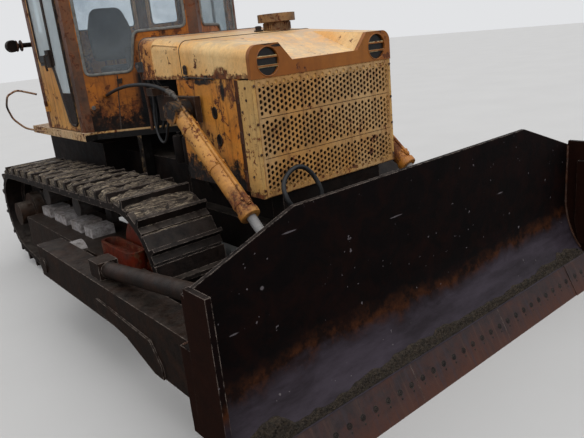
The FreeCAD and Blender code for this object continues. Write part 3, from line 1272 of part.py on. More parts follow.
bit_x = half - size("edge_bit")
gap = size("edge_gap") / 2
joints = [-bit_x, -bit_x / 3, bit_x / 3, bit_x]
formed("cutting_edge", Part.makeCompound([edge_piece(low + gap, high - gap, size("edge_thick"))
                                          for low, high in zip(joints, joints[1:])]))
formed("end_bits", Part.makeCompound([edge_piece(low, high, size("edge_bit_thick"))
                                      for low, high in ((-half, -bit_x - gap), (bit_x + gap, half))]))

# Back of the blade: a long box along the foot, with ribs above it
back_y = size(BACK_Y)
far_off = 2 * half


def behind_board(x, wide, low, high, rear):
    """A prism between the mouldboard's back and an upright rear face, between two heights."""
    foot, middle, bend, top_end = face_points(size("blade_plate"), x)
    region = Part.Face(Part.Wire(face_edges(size("blade_plate"), x) + [
        Part.LineSegment(top_end, Vector(x, far_off, top_end.z)).toShape(),
        Part.LineSegment(Vector(x, far_off, top_end.z), Vector(x, far_off, foot.z)).toShape(),
        Part.LineSegment(Vector(x, far_off, foot.z), foot).toShape(),
    ]))
    trim = flat_face([Vector(x, y, z) for y, z in
                      ((-far_off, low), (rear, low), (rear, high), (-far_off, high))])
    return region.common(trim).extrude(Vector(wide, 0, 0))


inside = half - cheek_thick
box_top = size("back_box_top_z")
back = behind_board(-inside, 2 * inside, size("back_box_low_z"), box_top, back_y)
brace_x = size(ARM_MIDDLE)
rib, shallow = size("rib_thick"), foot_y + size("rib_deep")
ribs = []
for x, rib_top, rear in (
        (brace_x, size("brace_front_z + 1.4 * brace_r"), back_y),
        (size("rib_out_x"), size("blade_mid_z - rib_top_gap"), shallow),
        (size("rib_in_x"), size("blade_mid_z - rib_top_gap"), shallow)):
    for name, side in SIDES:
        ribs.append(behind_board(side * x - rib / 2, rib, box_top, rib_top, rear))
formed("blade_back", back.fuse(ribs).removeSplitter())

eye = Vector(0, size("lift_eye_y"), size("lift_eye_z"))
head = Vector(0, size("lift_head_y"), size("lift_head_z"))
push = (eye - head).normalize()
ear_half, ear_foot, ear_thick = size("ear_half"), size("ear_foot_half"), size("ear_thick")
ears = []
for name, side in SIDES:
    for inner in (-size("barrel_r + ear_gap + ear_thick"), size("barrel_r + ear_gap")):
        ears.append(side_plate(side * size(LIFT_X) + inner, ear_thick, [
            (back_y, eye.z - ear_foot), (eye.y, eye.z - ear_half), (eye.y + ear_half, eye.z),
            (eye.y, eye.z + ear_half), (back_y, eye.z + ear_foot)]))
formed("rod_lugs", Part.makeCompound(ears))

# The brace's tube is made longer than it ends up, and then cut
BRACE_PAST = 1.2

# Push arms, with a strap along the outer face, and the braces above them
for name, side in SIDES:
    arm = body("push_arm_" + name)
    pad(arm, "YZ_Plane", *reach(side, ARM_IN, ARM_OUT), [
        (BACK_Y, "arm_low_z - arm_drop"), ("arm_drop_y", "arm_low_z - arm_drop"),
        ("arm_rise_y", "arm_low_z"), ("arm_pivot_y + arm_tail", "arm_low_z"),
        ("arm_pivot_y + arm_tail", "arm_top_z"), (BACK_Y, "arm_top_z")])
    pad(arm, "YZ_Plane", *reach(side, ARM_OUT, ARM_OUT + " + arm_plate"), [
        ("arm_plate_front_y", "arm_low_z - arm_drop"), ("arm_drop_y", "arm_low_z - arm_drop"),
        ("arm_rise_y", "arm_low_z"), ("arm_plate_y", "arm_plate_low_z"), ("arm_plate_y", "arm_plate_top_z"),
        ("arm_drop_y", "arm_plate_top_z - arm_plate_fall"),
        ("arm_plate_front_y", "arm_low_z - arm_drop / 3")])
    pocket(arm, "YZ_Plane", *reach(side, ARM_IN + " - 1", ARM_OUT + " + 1"),
           ("circle", "arm_pivot_y", "arm_pivot_z", "arm_pivot_r + pivot_play"))
    arm_top = size("arm_top_z")
    boss_wide, boss_long = size("brace_boss_wide"), size("brace_boss_long")
    rear_end = Vector(side * brace_x, size("brace_rear_y"), arm_top + size("brace_rise"))
    front_end = Vector(side * brace_x, back_y, size("brace_front_z"))
    long = (front_end - rear_end).Length
    tube = Part.makeCylinder(size("brace_r"), long * BRACE_PAST, rear_end, front_end - rear_end)
    boss = Part.makeBox(boss_wide, boss_long, size("brace_boss_tall"),
                        Vector(rear_end.x - boss_wide / 2, rear_end.y - boss_long / 4, arm_top))
    behind = side_plate(rear_end.x - boss_wide, 2 * boss_wide, [
        (back_y, arm_top), (rear_end.y + boss_long, arm_top), (rear_end.y + boss_long, 2 * arm_top),
        (back_y, 2 * arm_top)])
    formed("brace_" + name, tube.common(behind).fuse(boss).removeSplitter())

# Lift cylinders: each barrel hangs from its head and its rod reaches the blade's ears
lifted = Vector(0, push.z, -push.y)
for name, side in SIDES:
    x = side * size(LIFT_X)
    top_end = Vector(x, head.y, head.z)
    low_end = Vector(x, eye.y, eye.z)
    barrel = Part.makeCylinder(size("barrel_r"), size("barrel_long"), top_end, push)
    eye_wide = size("barrel_r") * 2
    head_wide = size("barrel_r + head_over") * 2
    knob = Part.makeCylinder(size("head_r"), head_wide, top_end - Vector(head_wide / 2, 0, 0), Vector(1, 0, 0))
    port_half = size("port_half")
    port = Part.makeBox(2 * port_half, size("port_long"), 2 * port_half,
                        top_end - Vector(port_half, 0, port_half))
    pin_long = size(LIFT_X) - size(BRACKET_IN) + size("bracket_gap") / 2
    pin = Part.makeCylinder(size("trunnion_r"), pin_long, top_end, Vector(-side, 0, 0))
    pipe_foot = top_end + lifted * size("pipe_lift") - push * size("pipe_start")
    pipe = Part.makeCylinder(size("pipe_r"), size("pipe_start + pipe_end"), pipe_foot, push)
    bore_start = top_end + push * (size("head_r") + size("rod_r") / 2)
    bore = Part.makeCylinder(size("rod_r + rod_play"), 2 * size("barrel_long"), bore_start, push)
    formed("lift_barrel_" + name, barrel.fuse([knob, port, pin, pipe]).cut(bore).removeSplitter())
    rod = Part.makeCylinder(size("rod_r"), size("rod_long"), low_end, push * -1)
    ring = Part.makeCylinder(size("eye_r"), eye_wide, low_end - Vector(eye_wide / 2, 0, 0), Vector(1, 0, 0))
    formed("lift_rod_" + name, rod.fuse(ring).removeSplitter())

brackets = []
POST_REAR = "(panel_rear_y + stay_gap + stay_deep + arch_deep)"
for name, side in SIDES:
    plate_z = ("lift_head_z - bracket_half", "lift_head_z + bracket_half")
    plate = box(reach(side, BRACKET_IN, BRACKET_OUT), ("lift_head_y - bracket_front", STAY_Y + " + stay_deep"),
                plate_z)
    stay = box(reach(side, "rail_inner_x", BRACKET_OUT), (STAY_Y, STAY_Y + " + stay_deep"),
               ("lift_head_z - bracket_half", "engine_top_z"))
    post = box(reach(side, BRACKET_IN, BRACKET_OUT), (STAY_Y + " + stay_deep", POST_REAR),
               ("lift_head_z - bracket_half", "arch_top_z"))
    arch = box(reach(side, BRACKET_OUT, BRACKET_OUT + " + arch_reach"),
               (POST_REAR + " - arch_leg", POST_REAR), ("arch_top_z - arch_tall", "arch_top_z"))
    hole = round_bar("X", *reach(side, "rail_inner_x", BRACKET_OUT + " + 1"), "trunnion_r + pivot_play",
                     "lift_head_y", "lift_head_z")
    brackets.append(cut_from(fused("bracket", [plate, stay, post, arch]), hole))
gathered("lift_brackets", brackets)

# Hydraulic hoses: points of their routes, x on the machine's right
LIFT_HOSE = [
    (-650, 1927, 1633), (-668, 1770, 1664), (-692, 1580, 1694), (-710, 1390, 1716),
    (-720, 1200, 1727), (-723, 1030, 1727), (-722, 880, 1712), (-720, 760, 1683)]
HEAD_HOSE = [
    (-690, 1030, 1648), (-694, 1046, 1560), (-700, 1052, 1470), (-706, 1030, 1388), (-712, 978, 1334),
    (-716, 915, 1334), (-718, 872, 1382), (-720, 846, 1440), (-720, 818, 1480)]
GRILLE_HOSE = [
    (-400, 16.5, 900), (-420, -70, 902), (-470, -125, 950), (-520, -118, 1030), (-512, -80, 1112),
    (-450, -64, 1172), (-366, -62, 1198), (-298, -66, 1168), (-250, -84, 1100), (-232, -112, 1015),
    (-240, -112, 930), (-262, -62, 862), (-275, 16.5, 850)]
for name, side in SIDES:
    hose("lift_hose_" + name, LIFT_HOSE, size("hose_r"), -side)
    hose("head_hose_" + name, HEAD_HOSE, size("head_hose_r"), -side)
hose("grille_hose", GRILLE_HOSE, size("grille_hose_r"))

doc.recompute()
for thing in doc.Objects:
    for state in thing.State:
        if state in ("Invalid", "Error"):
            raise RuntimeError("%s is %s" % (thing.Label, state))

os.makedirs("parts", exist_ok=True)
for thing in parts:
    shape = thing.Shape
    if shape.isNull() or not shape.isValid():
        raise RuntimeError(thing.Label + " has no valid shape")
    shape.exportStep("parts/%s.step" % thing.Label)
    print("%-22s solids %2d  volume %8.4f m3" % (thing.Label, len(shape.Solids), shape.Volume / 1e9))
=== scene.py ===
# %% [markdown]
# # An old crawler bulldozer
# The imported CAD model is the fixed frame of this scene: every solid already stands in its place, in
# metres, with the blade towards -Y and the machine's own right hand towards -X. The cells below light
# it, give every surface its worn finish, and add the small pieces that CAD leaves plain: bolts, seals,
# slats, weld beads, hoses and mud.

# %% Load the frame
import math

import bmesh
import bpy
import numpy as np
from mathutils import Matrix, Vector


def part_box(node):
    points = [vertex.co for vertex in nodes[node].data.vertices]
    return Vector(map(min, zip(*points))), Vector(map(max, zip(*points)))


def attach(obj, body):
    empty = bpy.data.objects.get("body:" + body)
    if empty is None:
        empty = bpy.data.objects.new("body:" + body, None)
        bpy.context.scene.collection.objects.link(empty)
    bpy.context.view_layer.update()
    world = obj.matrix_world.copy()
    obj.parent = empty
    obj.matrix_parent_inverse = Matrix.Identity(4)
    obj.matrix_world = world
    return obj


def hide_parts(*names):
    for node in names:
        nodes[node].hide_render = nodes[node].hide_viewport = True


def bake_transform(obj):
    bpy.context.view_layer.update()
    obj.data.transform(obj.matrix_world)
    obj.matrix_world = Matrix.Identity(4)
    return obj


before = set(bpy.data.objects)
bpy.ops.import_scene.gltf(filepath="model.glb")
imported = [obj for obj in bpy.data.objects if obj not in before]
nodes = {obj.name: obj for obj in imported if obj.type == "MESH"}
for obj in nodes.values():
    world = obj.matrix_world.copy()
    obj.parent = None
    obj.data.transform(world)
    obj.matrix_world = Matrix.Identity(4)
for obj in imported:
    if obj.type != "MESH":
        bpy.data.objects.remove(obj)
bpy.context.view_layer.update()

# %% [markdown]
# ## The camera
# The photograph was taken by someone standing in front of the blade's near corner, a little above the
# hood, with the picture turned a few degrees. A camera is a place, a direction and a roll: the three
# columns of its matrix are its right hand, its up and its back. The focal length was fitted in pixels of
# a picture 584 wide, and Blender wants it in millimetres of a 36 mm sensor.

# %% Camera
PICTURE_WIDE = 584
FOCAL_PIXELS = 592.7
CAMERA_PLACE = Vector((-2.608, -4.308, 1.972))
AZIMUTH, ELEVATION, ROLL = (math.radians(a) for a in (-38.26, 17.42, -5.91))

back = Vector((math.sin(AZIMUTH) * math.cos(ELEVATION), -math.cos(AZIMUTH) * math.cos(ELEVATION), math.sin(ELEVATION)))
level_right = (-back).cross(Vector((0, 0, 1))).normalized()
level_up = level_right.cross(-back)
right = math.cos(ROLL) * level_right + math.sin(ROLL) * level_up
up = math.cos(ROLL) * level_up - math.sin(ROLL) * level_right

camera = bpy.data.objects.new("camera", bpy.data.cameras.new("camera"))
bpy.context.scene.collection.objects.link(camera)
camera.matrix_world = Matrix.Translation(CAMERA_PLACE) @ Matrix((right, up, back)).transposed().to_4x4()
camera.data.sensor_width = 36
camera.data.lens = FOCAL_PIXELS / PICTURE_WIDE * camera.data.sensor_width
camera.data.clip_end = 500
bpy.context.scene.camera = camera
print("lens", round(camera.data.lens, 2), "mm")

# %% [markdown]
# ## Words for wiring shaders
# A material is a graph of nodes. Four short helpers keep the cells below readable: one adds any node and
# feeds its sockets, one does arithmetic, one mixes two colours, and one stretches a range of values to
# another. Colours are written as a screen shows them, 0 to 255, and turned into the linear light that
# the renderer counts with.

# %% Helpers for shader graphs
def tone(red, green, blue):
    """Screen values to linear light: below 0.04 divide by 12.92, above it raise to the power 2.4."""
    screen = np.array((red, green, blue)) / 255
    linear = np.where(screen <= 0.04045, screen / 12.92, ((screen + 0.055) / 1.055) ** 2.4)
    return (*linear.tolist(), 1.0)


def put(tree, kind, feeds=None, outlet=0, **choices):
    """Adds one shader node, sets its choices, feeds its sockets and returns one of its outlets."""
    made = tree.nodes.new("ShaderNode" + kind)
    for key, value in choices.items():
        setattr(made, key, value)
    for key, value in (feeds or {}).items():
        if isinstance(value, bpy.types.NodeSocket):
            tree.links.new(value, made.inputs[key])
        else:
            made.inputs[key].default_value = value
    return made.outputs[outlet]


def calc(tree, operation, first, second=0.0):
    return put(tree, "Math", {0: first, 1: second}, operation=operation, use_clamp=True)


def mixed(tree, share, first, second, blend="MIX"):
    feeds = {0: share, 6: first, 7: second}
    return put(tree, "Mix", feeds, outlet=2, data_type="RGBA", blend_type=blend, clamp_factor=True)


def between(tree, value, low, high, to_low=0.0, to_high=1.0):
    return put(tree, "MapRange", {0: value, 1: low, 2: high, 3: to_low, 4: to_high})


def noise(tree, place, scale, detail=4.0, rough=0.55, warp=0.0):
    feeds = {"Vector": place, "Scale": scale, "Detail": detail, "Roughness": rough, "Distortion": warp}
    return put(tree, "TexNoise", feeds)


def stretched(tree, place, by):
    return put(tree, "Mapping", {"Vector": place, "Scale": by})


def object_place(tree):
    return put(tree, "TexCoord", outlet="Object")


def parts_of(tree, vector):
    """The x, y and z of a vector, as three outlets."""
    split = tree.nodes.new("ShaderNodeSeparateXYZ")
    tree.links.new(vector, split.inputs[0])
    return split.outputs


def facing_up(tree):
    """The height part of the surface normal: 1 on a floor, 0 on a wall."""
    return parts_of(tree, put(tree, "NewGeometry", outlet="Normal"))[2]


# %% [markdown]
# ## Effects that many finishes share
# A node group is a function for shaders. It is built once, with named inputs and outputs, and placed in
# every material that needs it. These put out only colours, masks and values, and the shader itself stays
# in the material.

# %% A maker of node groups
KINDS = {"v": "NodeSocketFloat", "c": "NodeSocketColor", "p": "NodeSocketVector"}


def effect(name, takes, gives):
    """Makes a shader node group with named sockets. takes holds (name, kind, value), gives (name, kind)."""
    tree = bpy.data.node_groups.new(name, "ShaderNodeTree")
    for label, kind, value in takes:
        socket = tree.interface.new_socket(label, in_out="INPUT", socket_type=KINDS[kind])
        socket.default_value = value
    for label, kind in gives:
        tree.interface.new_socket(label, in_out="OUTPUT", socket_type=KINDS[kind])
    taken = tree.nodes.new("NodeGroupInput").outputs
    given = tree.nodes.new("NodeGroupOutput").inputs
    return tree, taken, given


def place_effect(tree, group, feeds):
    """Places a node group in a material and returns its outlets by name."""
    made = tree.nodes.new("ShaderNodeGroup")
    made.node_tree = group
    for key, value in feeds.items():
        if isinstance(value, bpy.types.NodeSocket):
            tree.links.new(value, made.inputs[key])
        else:
            made.inputs[key].default_value = value
    return made.outputs


# %% [markdown]
# ### Worn edges
# Paint goes first from the corners. The Bevel node looks round a point for other faces, and where the
# normal that it averages differs from the face's own, there is an edge. Noise breaks the line up, so that
# it doesn't look drawn with a pen.

# %% Worn edges
edge_wear, taken, given = effect(
    "worn edges", [("Width", "v", 0.008), ("Ragged", "v", 26.0)], [("Edge", "v")]
)
rounded = put(edge_wear, "Bevel", {"Radius": taken["Width"]}, samples=4)
plain = put(edge_wear, "NewGeometry", outlet="Normal")
same = put(edge_wear, "VectorMath", {0: rounded, 1: plain}, outlet="Value", operation="DOT_PRODUCT")
edge = between(edge_wear, same, 0.995, 0.9)
broken = between(edge_wear, noise(edge_wear, object_place(edge_wear), taken["Ragged"], 5.0, 0.7), 0.4, 0.56)
edge_wear.links.new(calc(edge_wear, "MULTIPLY", edge, broken), given["Edge"])

# %% [markdown]
# ### A stained place
# The oil on a side panel or the rust round a bolt belongs to one place. This mask is 1 at a centre and
# falls to 0 at a reach along each axis, and noise eats into its rim.

# %% A stained place
stain, taken, given = effect(
    "stained place",
    [("Centre", "p", (0, 0, 0)), ("Reach", "p", (0.1, 0.1, 0.1)), ("Ragged", "v", 9.0)],
    [("Mask", "v")],
)
place = object_place(stain)
away = put(stain, "VectorMath", {0: place, 1: taken["Centre"]}, operation="SUBTRACT")
away = put(stain, "VectorMath", {0: away, 1: taken["Reach"]}, operation="DIVIDE")
far = put(stain, "VectorMath", {0: away}, outlet="Value", operation="LENGTH")
eaten = noise(stain, place, taken["Ragged"], 6.0, 0.65)
far = put(stain, "Math", {0: between(stain, eaten, 0.25, 0.75, -0.45, 0.45), 1: far}, operation="ADD")
stain.links.new(between(stain, far, 1.0, 0.7), given["Mask"])

# %% [markdown]
# ### Wear that rises from below
# Wet mud and rust climb from a panel's lower edge. The mask is whole at the low height, and gone above
# the high one, and between them noise tears it into patches.

# %% Rising wear
rising, taken, given = effect(
    "rising wear", [("Low", "v", 0.0), ("High", "v", 1.0), ("Ragged", "v", 16.0)], [("Mask", "v")]
)
place = object_place(rising)
level = parts_of(rising, place)[2]
share = between(rising, level, taken["High"], taken["Low"], 0.0, 1.1)
bite = between(rising, noise(rising, place, taken["Ragged"], 7.0, 0.7), 0.25, 0.75, -0.7, 0.7)
torn = put(rising, "Math", {0: share, 1: bite}, operation="ADD")
rising.links.new(between(rising, torn, 0.5, 0.72), given["Mask"])

# %% [markdown]
# ### Weathered paint
# Enamel on a machine that stands outdoors fades in broad clouds, chips down to rust, wears through along
# its edges, and carries brown runs down its sides and grime in its hollows. The group mixes these in the
# order in which they happened, and puts out a height too, because a chip is a shallow pit.

# %% Weathered paint
DARK_RUST = tone(62, 36, 24)
BRIGHT_RUST = tone(132, 72, 34)
GRIME = tone(38, 29, 22)
OIL = tone(24, 16, 11)

weathered, taken, given = effect(
    "weathered paint",
    [
        ("Paint", "c", tone(188, 128, 56)),
        ("Faded", "c", tone(206, 160, 92)),
        ("Chips", "v", 0.3),
        ("Chip Size", "v", 18.0),
        ("Runs", "v", 0.4),
        ("Grime", "v", 0.3),
        ("Edges", "v", 0.6),
        ("Stain", "v", 0.0),
        ("Oil", "v", 0.0),
        ("Dust", "v", 0.0),
    ],
    [("Color", "c"), ("Roughness", "v"), ("Height", "v")],
)
g = weathered
place = object_place(g)
cloud = noise(g, place, 1.9, 4.0, 0.6, 0.3)
colour = mixed(g, between(g, cloud, 0.38, 0.62), taken["Paint"], taken["Faded"])
mottle = noise(g, place, 60.0, 5.0, 0.75)
colour = mixed(g, between(g, mottle, 0.45, 0.8, 0.0, 0.35), colour, BRIGHT_RUST)
smear = noise(g, stretched(g, place, (9.0, 9.0, 3.0)), 1.0, 6.0, 0.7)
colour = mixed(g, between(g, smear, 0.5, 0.72, 0.0, 0.4), colour, mixed(g, 0.5, taken["Paint"], DARK_RUST))

chip_noise = noise(g, place, taken["Chip Size"], 9.0, 0.68, 0.4)
chip_cloud = noise(g, place, 3.1, 3.0, 0.6)
uneven = put(g, "Math", {0: chip_noise, 1: between(g, chip_cloud, 0.3, 0.7, -0.1, 0.1)}, operation="ADD")
level = put(g, "Math", {0: taken["Chips"], 1: -0.2, 2: 0.68}, operation="MULTIPLY_ADD")
depth = put(g, "Math", {0: uneven, 1: level}, operation="SUBTRACT")
chips = between(g, depth, 0.0, 0.018)
halo = between(g, depth, -0.05, 0.01)

edges = place_effect(g, edge_wear, {"Width": 0.009, "Ragged": 30.0})["Edge"]
edges = calc(g, "MULTIPLY", edges, taken["Edges"])
stained = calc(g, "MULTIPLY", taken["Stain"], between(g, noise(g, place, 24.0, 7.0, 0.7), 0.3, 0.52))
bare = calc(g, "MAXIMUM", calc(g, "MAXIMUM", chips, edges), stained)
rust = mixed(g, between(g, noise(g, place, 34.0, 6.0, 0.7), 0.35, 0.68), DARK_RUST, BRIGHT_RUST)
colour = mixed(g, calc(g, "MULTIPLY", halo, 0.45), colour, BRIGHT_RUST)
colour = mixed(g, bare, colour, rust)

height_part = facing_up(g)
steep = between(g, calc(g, "ABSOLUTE", height_part), 0.75, 0.3)
runs = noise(g, stretched(g, place, (24.0, 24.0, 1.3)), 1.0, 5.0, 0.65, 0.15)
runs = calc(g, "MULTIPLY", between(g, runs, 0.52, 0.74), calc(g, "MULTIPLY", taken["Runs"], steep))
colour = mixed(g, runs, colour, mixed(g, 0.35, DARK_RUST, BRIGHT_RUST))
dirt = between(g, noise(g, place, 5.5, 8.0, 0.72, 0.6), 0.47, 0.7)
dirt = calc(g, "MULTIPLY", dirt, taken["Grime"])
colour = mixed(g, dirt, colour, GRIME)
oily = calc(g, "MULTIPLY", taken["Oil"], between(g, noise(g, place, 16.0, 6.0, 0.65, 0.5), 0.3, 0.5, 0.55, 1.0))
colour = mixed(g, oily, colour, OIL)
# Dust on upward faces: its pale tone is partly real dust and partly a painted sheen of the bright sky on the tops.
settled = calc(g, "MULTIPLY", between(g, height_part, 0.55, 0.95), taken["Dust"])
settled = calc(g, "MULTIPLY", settled, between(g, noise(g, place, 14.0, 7.0, 0.7), 0.35, 0.6))
colour = mixed(g, settled, colour, tone(186, 166, 140))
g.links.new(colour, given["Color"])
rough = calc(g, "ADD", between(g, bare, 0.0, 1.0, 0.4, 0.82), calc(g, "MULTIPLY", dirt, 0.25))
g.links.new(rough, given["Roughness"])
pits = put(g, "Math", {0: between(g, mottle, 0.3, 0.8, 0.0, 0.12), 1: bare}, operation="SUBTRACT")
g.links.new(pits, given["Height"])

# %% [markdown]
# ### Working steel
# Castings, blades and tracks were never painted, or lost their paint long ago. They are dark where oil
# and wet rust sit, lighter where dust has dried on them, brighter along edges that rub, and streaked
# downwards on walls.

# %% Working steel
steel, taken, given = effect(
    "working steel",
    [
        ("Dark", "c", tone(30, 24, 21)),
        ("Light", "c", tone(70, 62, 56)),
        ("Rust", "c", tone(92, 52, 32)),
        ("Rusting", "v", 0.4),
        ("Dust", "v", 0.4),
        ("Edges", "v", 0.6),
        ("Runs", "v", 0.3),
        ("Grain", "v", 20.0),
    ],
    [("Color", "c"), ("Roughness", "v"), ("Height", "v")],
)
g = steel
place = object_place(g)
grain = noise(g, place, taken["Grain"], 9.0, 0.72, 0.3)
colour = mixed(g, between(g, grain, 0.35, 0.68), taken["Dark"], taken["Light"])
rusting = between(g, noise(g, place, 6.0, 8.0, 0.7, 0.5), 0.44, 0.66)
rusting = calc(g, "MULTIPLY", rusting, taken["Rusting"])
colour = mixed(g, rusting, colour, taken["Rust"])
height_part = facing_up(g)
steep = between(g, calc(g, "ABSOLUTE", height_part), 0.75, 0.3)
runs = noise(g, stretched(g, place, (30.0, 30.0, 2.0)), 1.0, 6.0, 0.7)
runs = calc(g, "MULTIPLY", between(g, runs, 0.5, 0.7), calc(g, "MULTIPLY", taken["Runs"], steep))
colour = mixed(g, runs, colour, mixed(g, 0.6, taken["Rust"], taken["Light"]))
edges = place_effect(g, edge_wear, {"Width": 0.007, "Ragged": 22.0})["Edge"]
edges = calc(g, "MULTIPLY", edges, taken["Edges"])
colour = mixed(g, edges, colour, tone(142, 128, 118))
settled = calc(g, "MULTIPLY", between(g, height_part, 0.35, 0.9), taken["Dust"])
settled = calc(g, "MULTIPLY", settled, between(g, noise(g, place, 11.0, 8.0, 0.75), 0.36, 0.6))
colour = mixed(g, settled, colour, mixed(g, grain, tone(96, 86, 76), tone(134, 124, 114)))
g.links.new(colour, given["Color"])
rough = calc(g, "ADD", between(g, grain, 0.3, 0.7, 0.42, 0.68), calc(g, "MULTIPLY", settled, 0.3))
g.links.new(rough, given["Roughness"])
g.links.new(calc(g, "ADD", grain, calc(g, "MULTIPLY", settled, 0.4)), given["Height"])

# %% [markdown]
# ## Finishes
# Each finish is a material with its own Principled shader. It takes its colours, roughness and pits from
# a shared effect, with the values of its own piece.

# %% Makers of finishes
def shader(material, colour, roughness, height=None, pit=0.002, **sockets):
    """Wires a material's Principled shader. sockets are constants, set on the shader itself."""
    tree = material.node_tree
    principled = tree.nodes["Principled BSDF"]
    for key, value in {"Base Color": colour, "Roughness": roughness, **sockets}.items():
        if isinstance(value, bpy.types.NodeSocket):
            tree.links.new(value, principled.inputs[key])
        else:
            principled.inputs[key].default_value = value
    if height is not None:
        bump = put(tree, "Bump", {"Height": height, "Distance": pit, "Strength": 0.8})
        tree.links.new(bump, principled.inputs["Normal"])
    return material


def blank(name):
    """A new material and its node tree, ready for an effect."""
    material = bpy.data.materials.new("worn_" + name)
    material.use_nodes = True
    return material, material.node_tree


def stains(tree, places):
    """The largest of several stained places, each (centre, reach)."""
    mask = 0.0
    for centre, reach in places:
        one = place_effect(tree, stain, {"Centre": centre, "Reach": reach})["Mask"]
        mask = calc(tree, "MAXIMUM", one, mask)
    return mask


def rust_below(tree, *levels):
    """The largest of several rising masks, each (low, high, ragged)."""
    mask = 0.0
    for low, high, ragged in levels:
        one = place_effect(tree, rising, {"Low": low, "High": high, "Ragged": ragged})["Mask"]
        mask = calc(tree, "MAXIMUM", one, mask)
    return mask


def paint(name, paint_tone, faded_tone, rusty=(), oily=(), below=(), oil_below=(), **values):
    """A painted finish from the weathered paint effect. rusty and oily list stained places, below and
    oil_below list heights that rust and oil have climbed from."""
    material, tree = blank(name)
    feeds = {"Paint": tone(*paint_tone), "Faded": tone(*faded_tone)}
    feeds.update({key.replace("_", " "): value for key, value in values.items()})
    feeds["Stain"] = calc(tree, "MAXIMUM", stains(tree, rusty), rust_below(tree, *below))
    feeds["Oil"] = calc(tree, "MAXIMUM", stains(tree, oily), rust_below(tree, *oil_below))
    look = place_effect(tree, weathered, feeds)
    return shader(material, look["Color"], look["Roughness"], look["Height"], 0.0015, **{"Specular IOR Level": 0.4})


def bare_steel(name, dark, light, rust, pit=0.004, gloss=0.2, **values):
    """A bare metal finish from the working steel effect."""
    material, tree = blank(name)
    feeds = {"Dark": tone(*dark), "Light": tone(*light), "Rust": tone(*rust), **values}
    look = place_effect(tree, steel, feeds)
    return shader(material, look["Color"], look["Roughness"], look["Height"], pit, **{"Specular IOR Level": gloss})


def dress(material, *names):
    """Gives a material to CAD nodes by their names."""
    for name in names:
        nodes[name].material_slots[0].material = material


# %% Painted sheet metal
# The nose's two places listed for oil draw a thin dark sliver along the sunken lip above the right-hand lamp.
nose_paint = paint(
    "nose_paint", (150, 86, 28), (162, 100, 38), Chips=0.15, Runs=0.3, Grime=0.25, Edges=0.4,
    oily=(((-0.452, -1.5125, 1.927), (0.05, 0.04, 0.011)), ((-0.39, -1.5125, 1.909), (0.05, 0.04, 0.010))),
)
side_paint = paint(
    "side_panel_paint", (214, 130, 44), (228, 160, 72),
    rusty=(((-0.588, -1.28, 1.72), (0.05, 0.05, 0.12)), ((0.588, -0.9, 1.66), (0.05, 0.14, 0.06))),
    oily=(((-0.588, -0.86, 1.53), (0.05, 0.055, 0.10)), ((-0.588, -0.80, 1.42), (0.05, 0.12, 0.08)),
          ((-0.588, -1.19, 1.68), (0.05, 0.03, 0.07)), ((-0.588, -0.98, 1.725), (0.05, 0.12, 0.022)),
          ((0.588, -1.1, 1.5), (0.05, 0.07, 0.16))),
    oil_below=((1.1, 1.34, 9.0),), below=((1.07, 1.28, 14.0),),
    Chips=0.42, Chip_Size=16.0, Runs=0.9, Grime=0.4, Edges=0.8,
)
cowl_paint = paint(
    "cowl_paint", (212, 164, 92), (222, 182, 116), below=((1.03, 1.12, 20.0),), Chips=0.28, Chip_Size=34.0,
    Runs=0.4, Grime=0.2, Edges=0.7,
)
grille_paint = paint(
    "grille_paint", (190, 140, 80), (200, 162, 112), Chips=0.24, Chip_Size=12.0, Runs=0.6, Grime=0.35, Edges=0.3
)
cab_paint = paint(
    "cab_paint", (192, 116, 38), (208, 152, 84), below=((1.36, 1.6, 9.0),), oil_below=((1.3, 1.42, 7.0),),
    Chips=0.42, Chip_Size=11.0, Runs=1.0, Grime=0.45, Edges=0.9,
)
door_paint = paint(
    "door_paint", (214, 148, 62), (224, 170, 96), below=((1.3, 1.46, 9.0),),
    oily=(((-0.83, 0.69, 2.1), (0.06, 0.022, 0.9)), ((0.83, 0.69, 2.1), (0.06, 0.022, 0.9))),
    Chips=0.3, Chip_Size=13.0, Runs=0.8, Grime=0.3, Edges=0.7,
)
scuttle_paint = paint(
    "scuttle_paint", (172, 106, 44), (146, 86, 40), below=((1.36, 1.7, 9.0),), Chips=0.65, Chip_Size=12.0, Runs=0.9,
    Grime=0.8, Edges=0.6,
)
pillar_paint = paint(
    "pillar_paint", (118, 74, 42), (84, 60, 46), Chips=0.7, Chip_Size=9.0, Runs=0.8, Grime=0.7, Edges=0.8
)
roof_paint = paint("roof_paint", (184, 176, 160), (200, 194, 180), Chips=0.3, Runs=0.5, Grime=0.4, Dust=0.4)
cylinder_paint = paint(
    "cylinder_paint", (188, 120, 46), (208, 150, 74),
    rusty=(((0.72, -1.38, 1.05), (0.12, 0.14, 0.12)), ((-0.72, -1.44, 1.02), (0.12, 0.14, 0.12))),
    oily=(((-0.72, -0.84, 1.57), (0.2, 0.14, 0.14)), ((0.72, -0.84, 1.57), (0.2, 0.14, 0.14))),
    Chips=0.36, Chip_Size=34.0, Runs=0.35, Grime=0.3, Edges=0.6,
)
tank_paint = paint(
    "tank_paint", (180, 112, 42), (194, 138, 72), below=((1.18, 1.36, 10.0),), Chips=0.4, Runs=0.8, Grime=0.5
)
cleaner_paint = paint(
    "precleaner_paint", (168, 130, 80), (128, 98, 66), Chips=0.35, Chip_Size=40.0, Runs=0.3, Grime=0.7, Edges=0.5
)
wheel_paint = paint("wheel_paint", (124, 34, 13), (82, 25, 12), Chips=0.5, Chip_Size=20.0, Grime=1.0, Dust=0.05)
frame_steel = bare_steel(
    "frame_steel", (22, 16, 12), (54, 40, 30), (70, 42, 26), Rusting=0.5, Dust=0.5, Edges=0.5, Runs=0.4
)
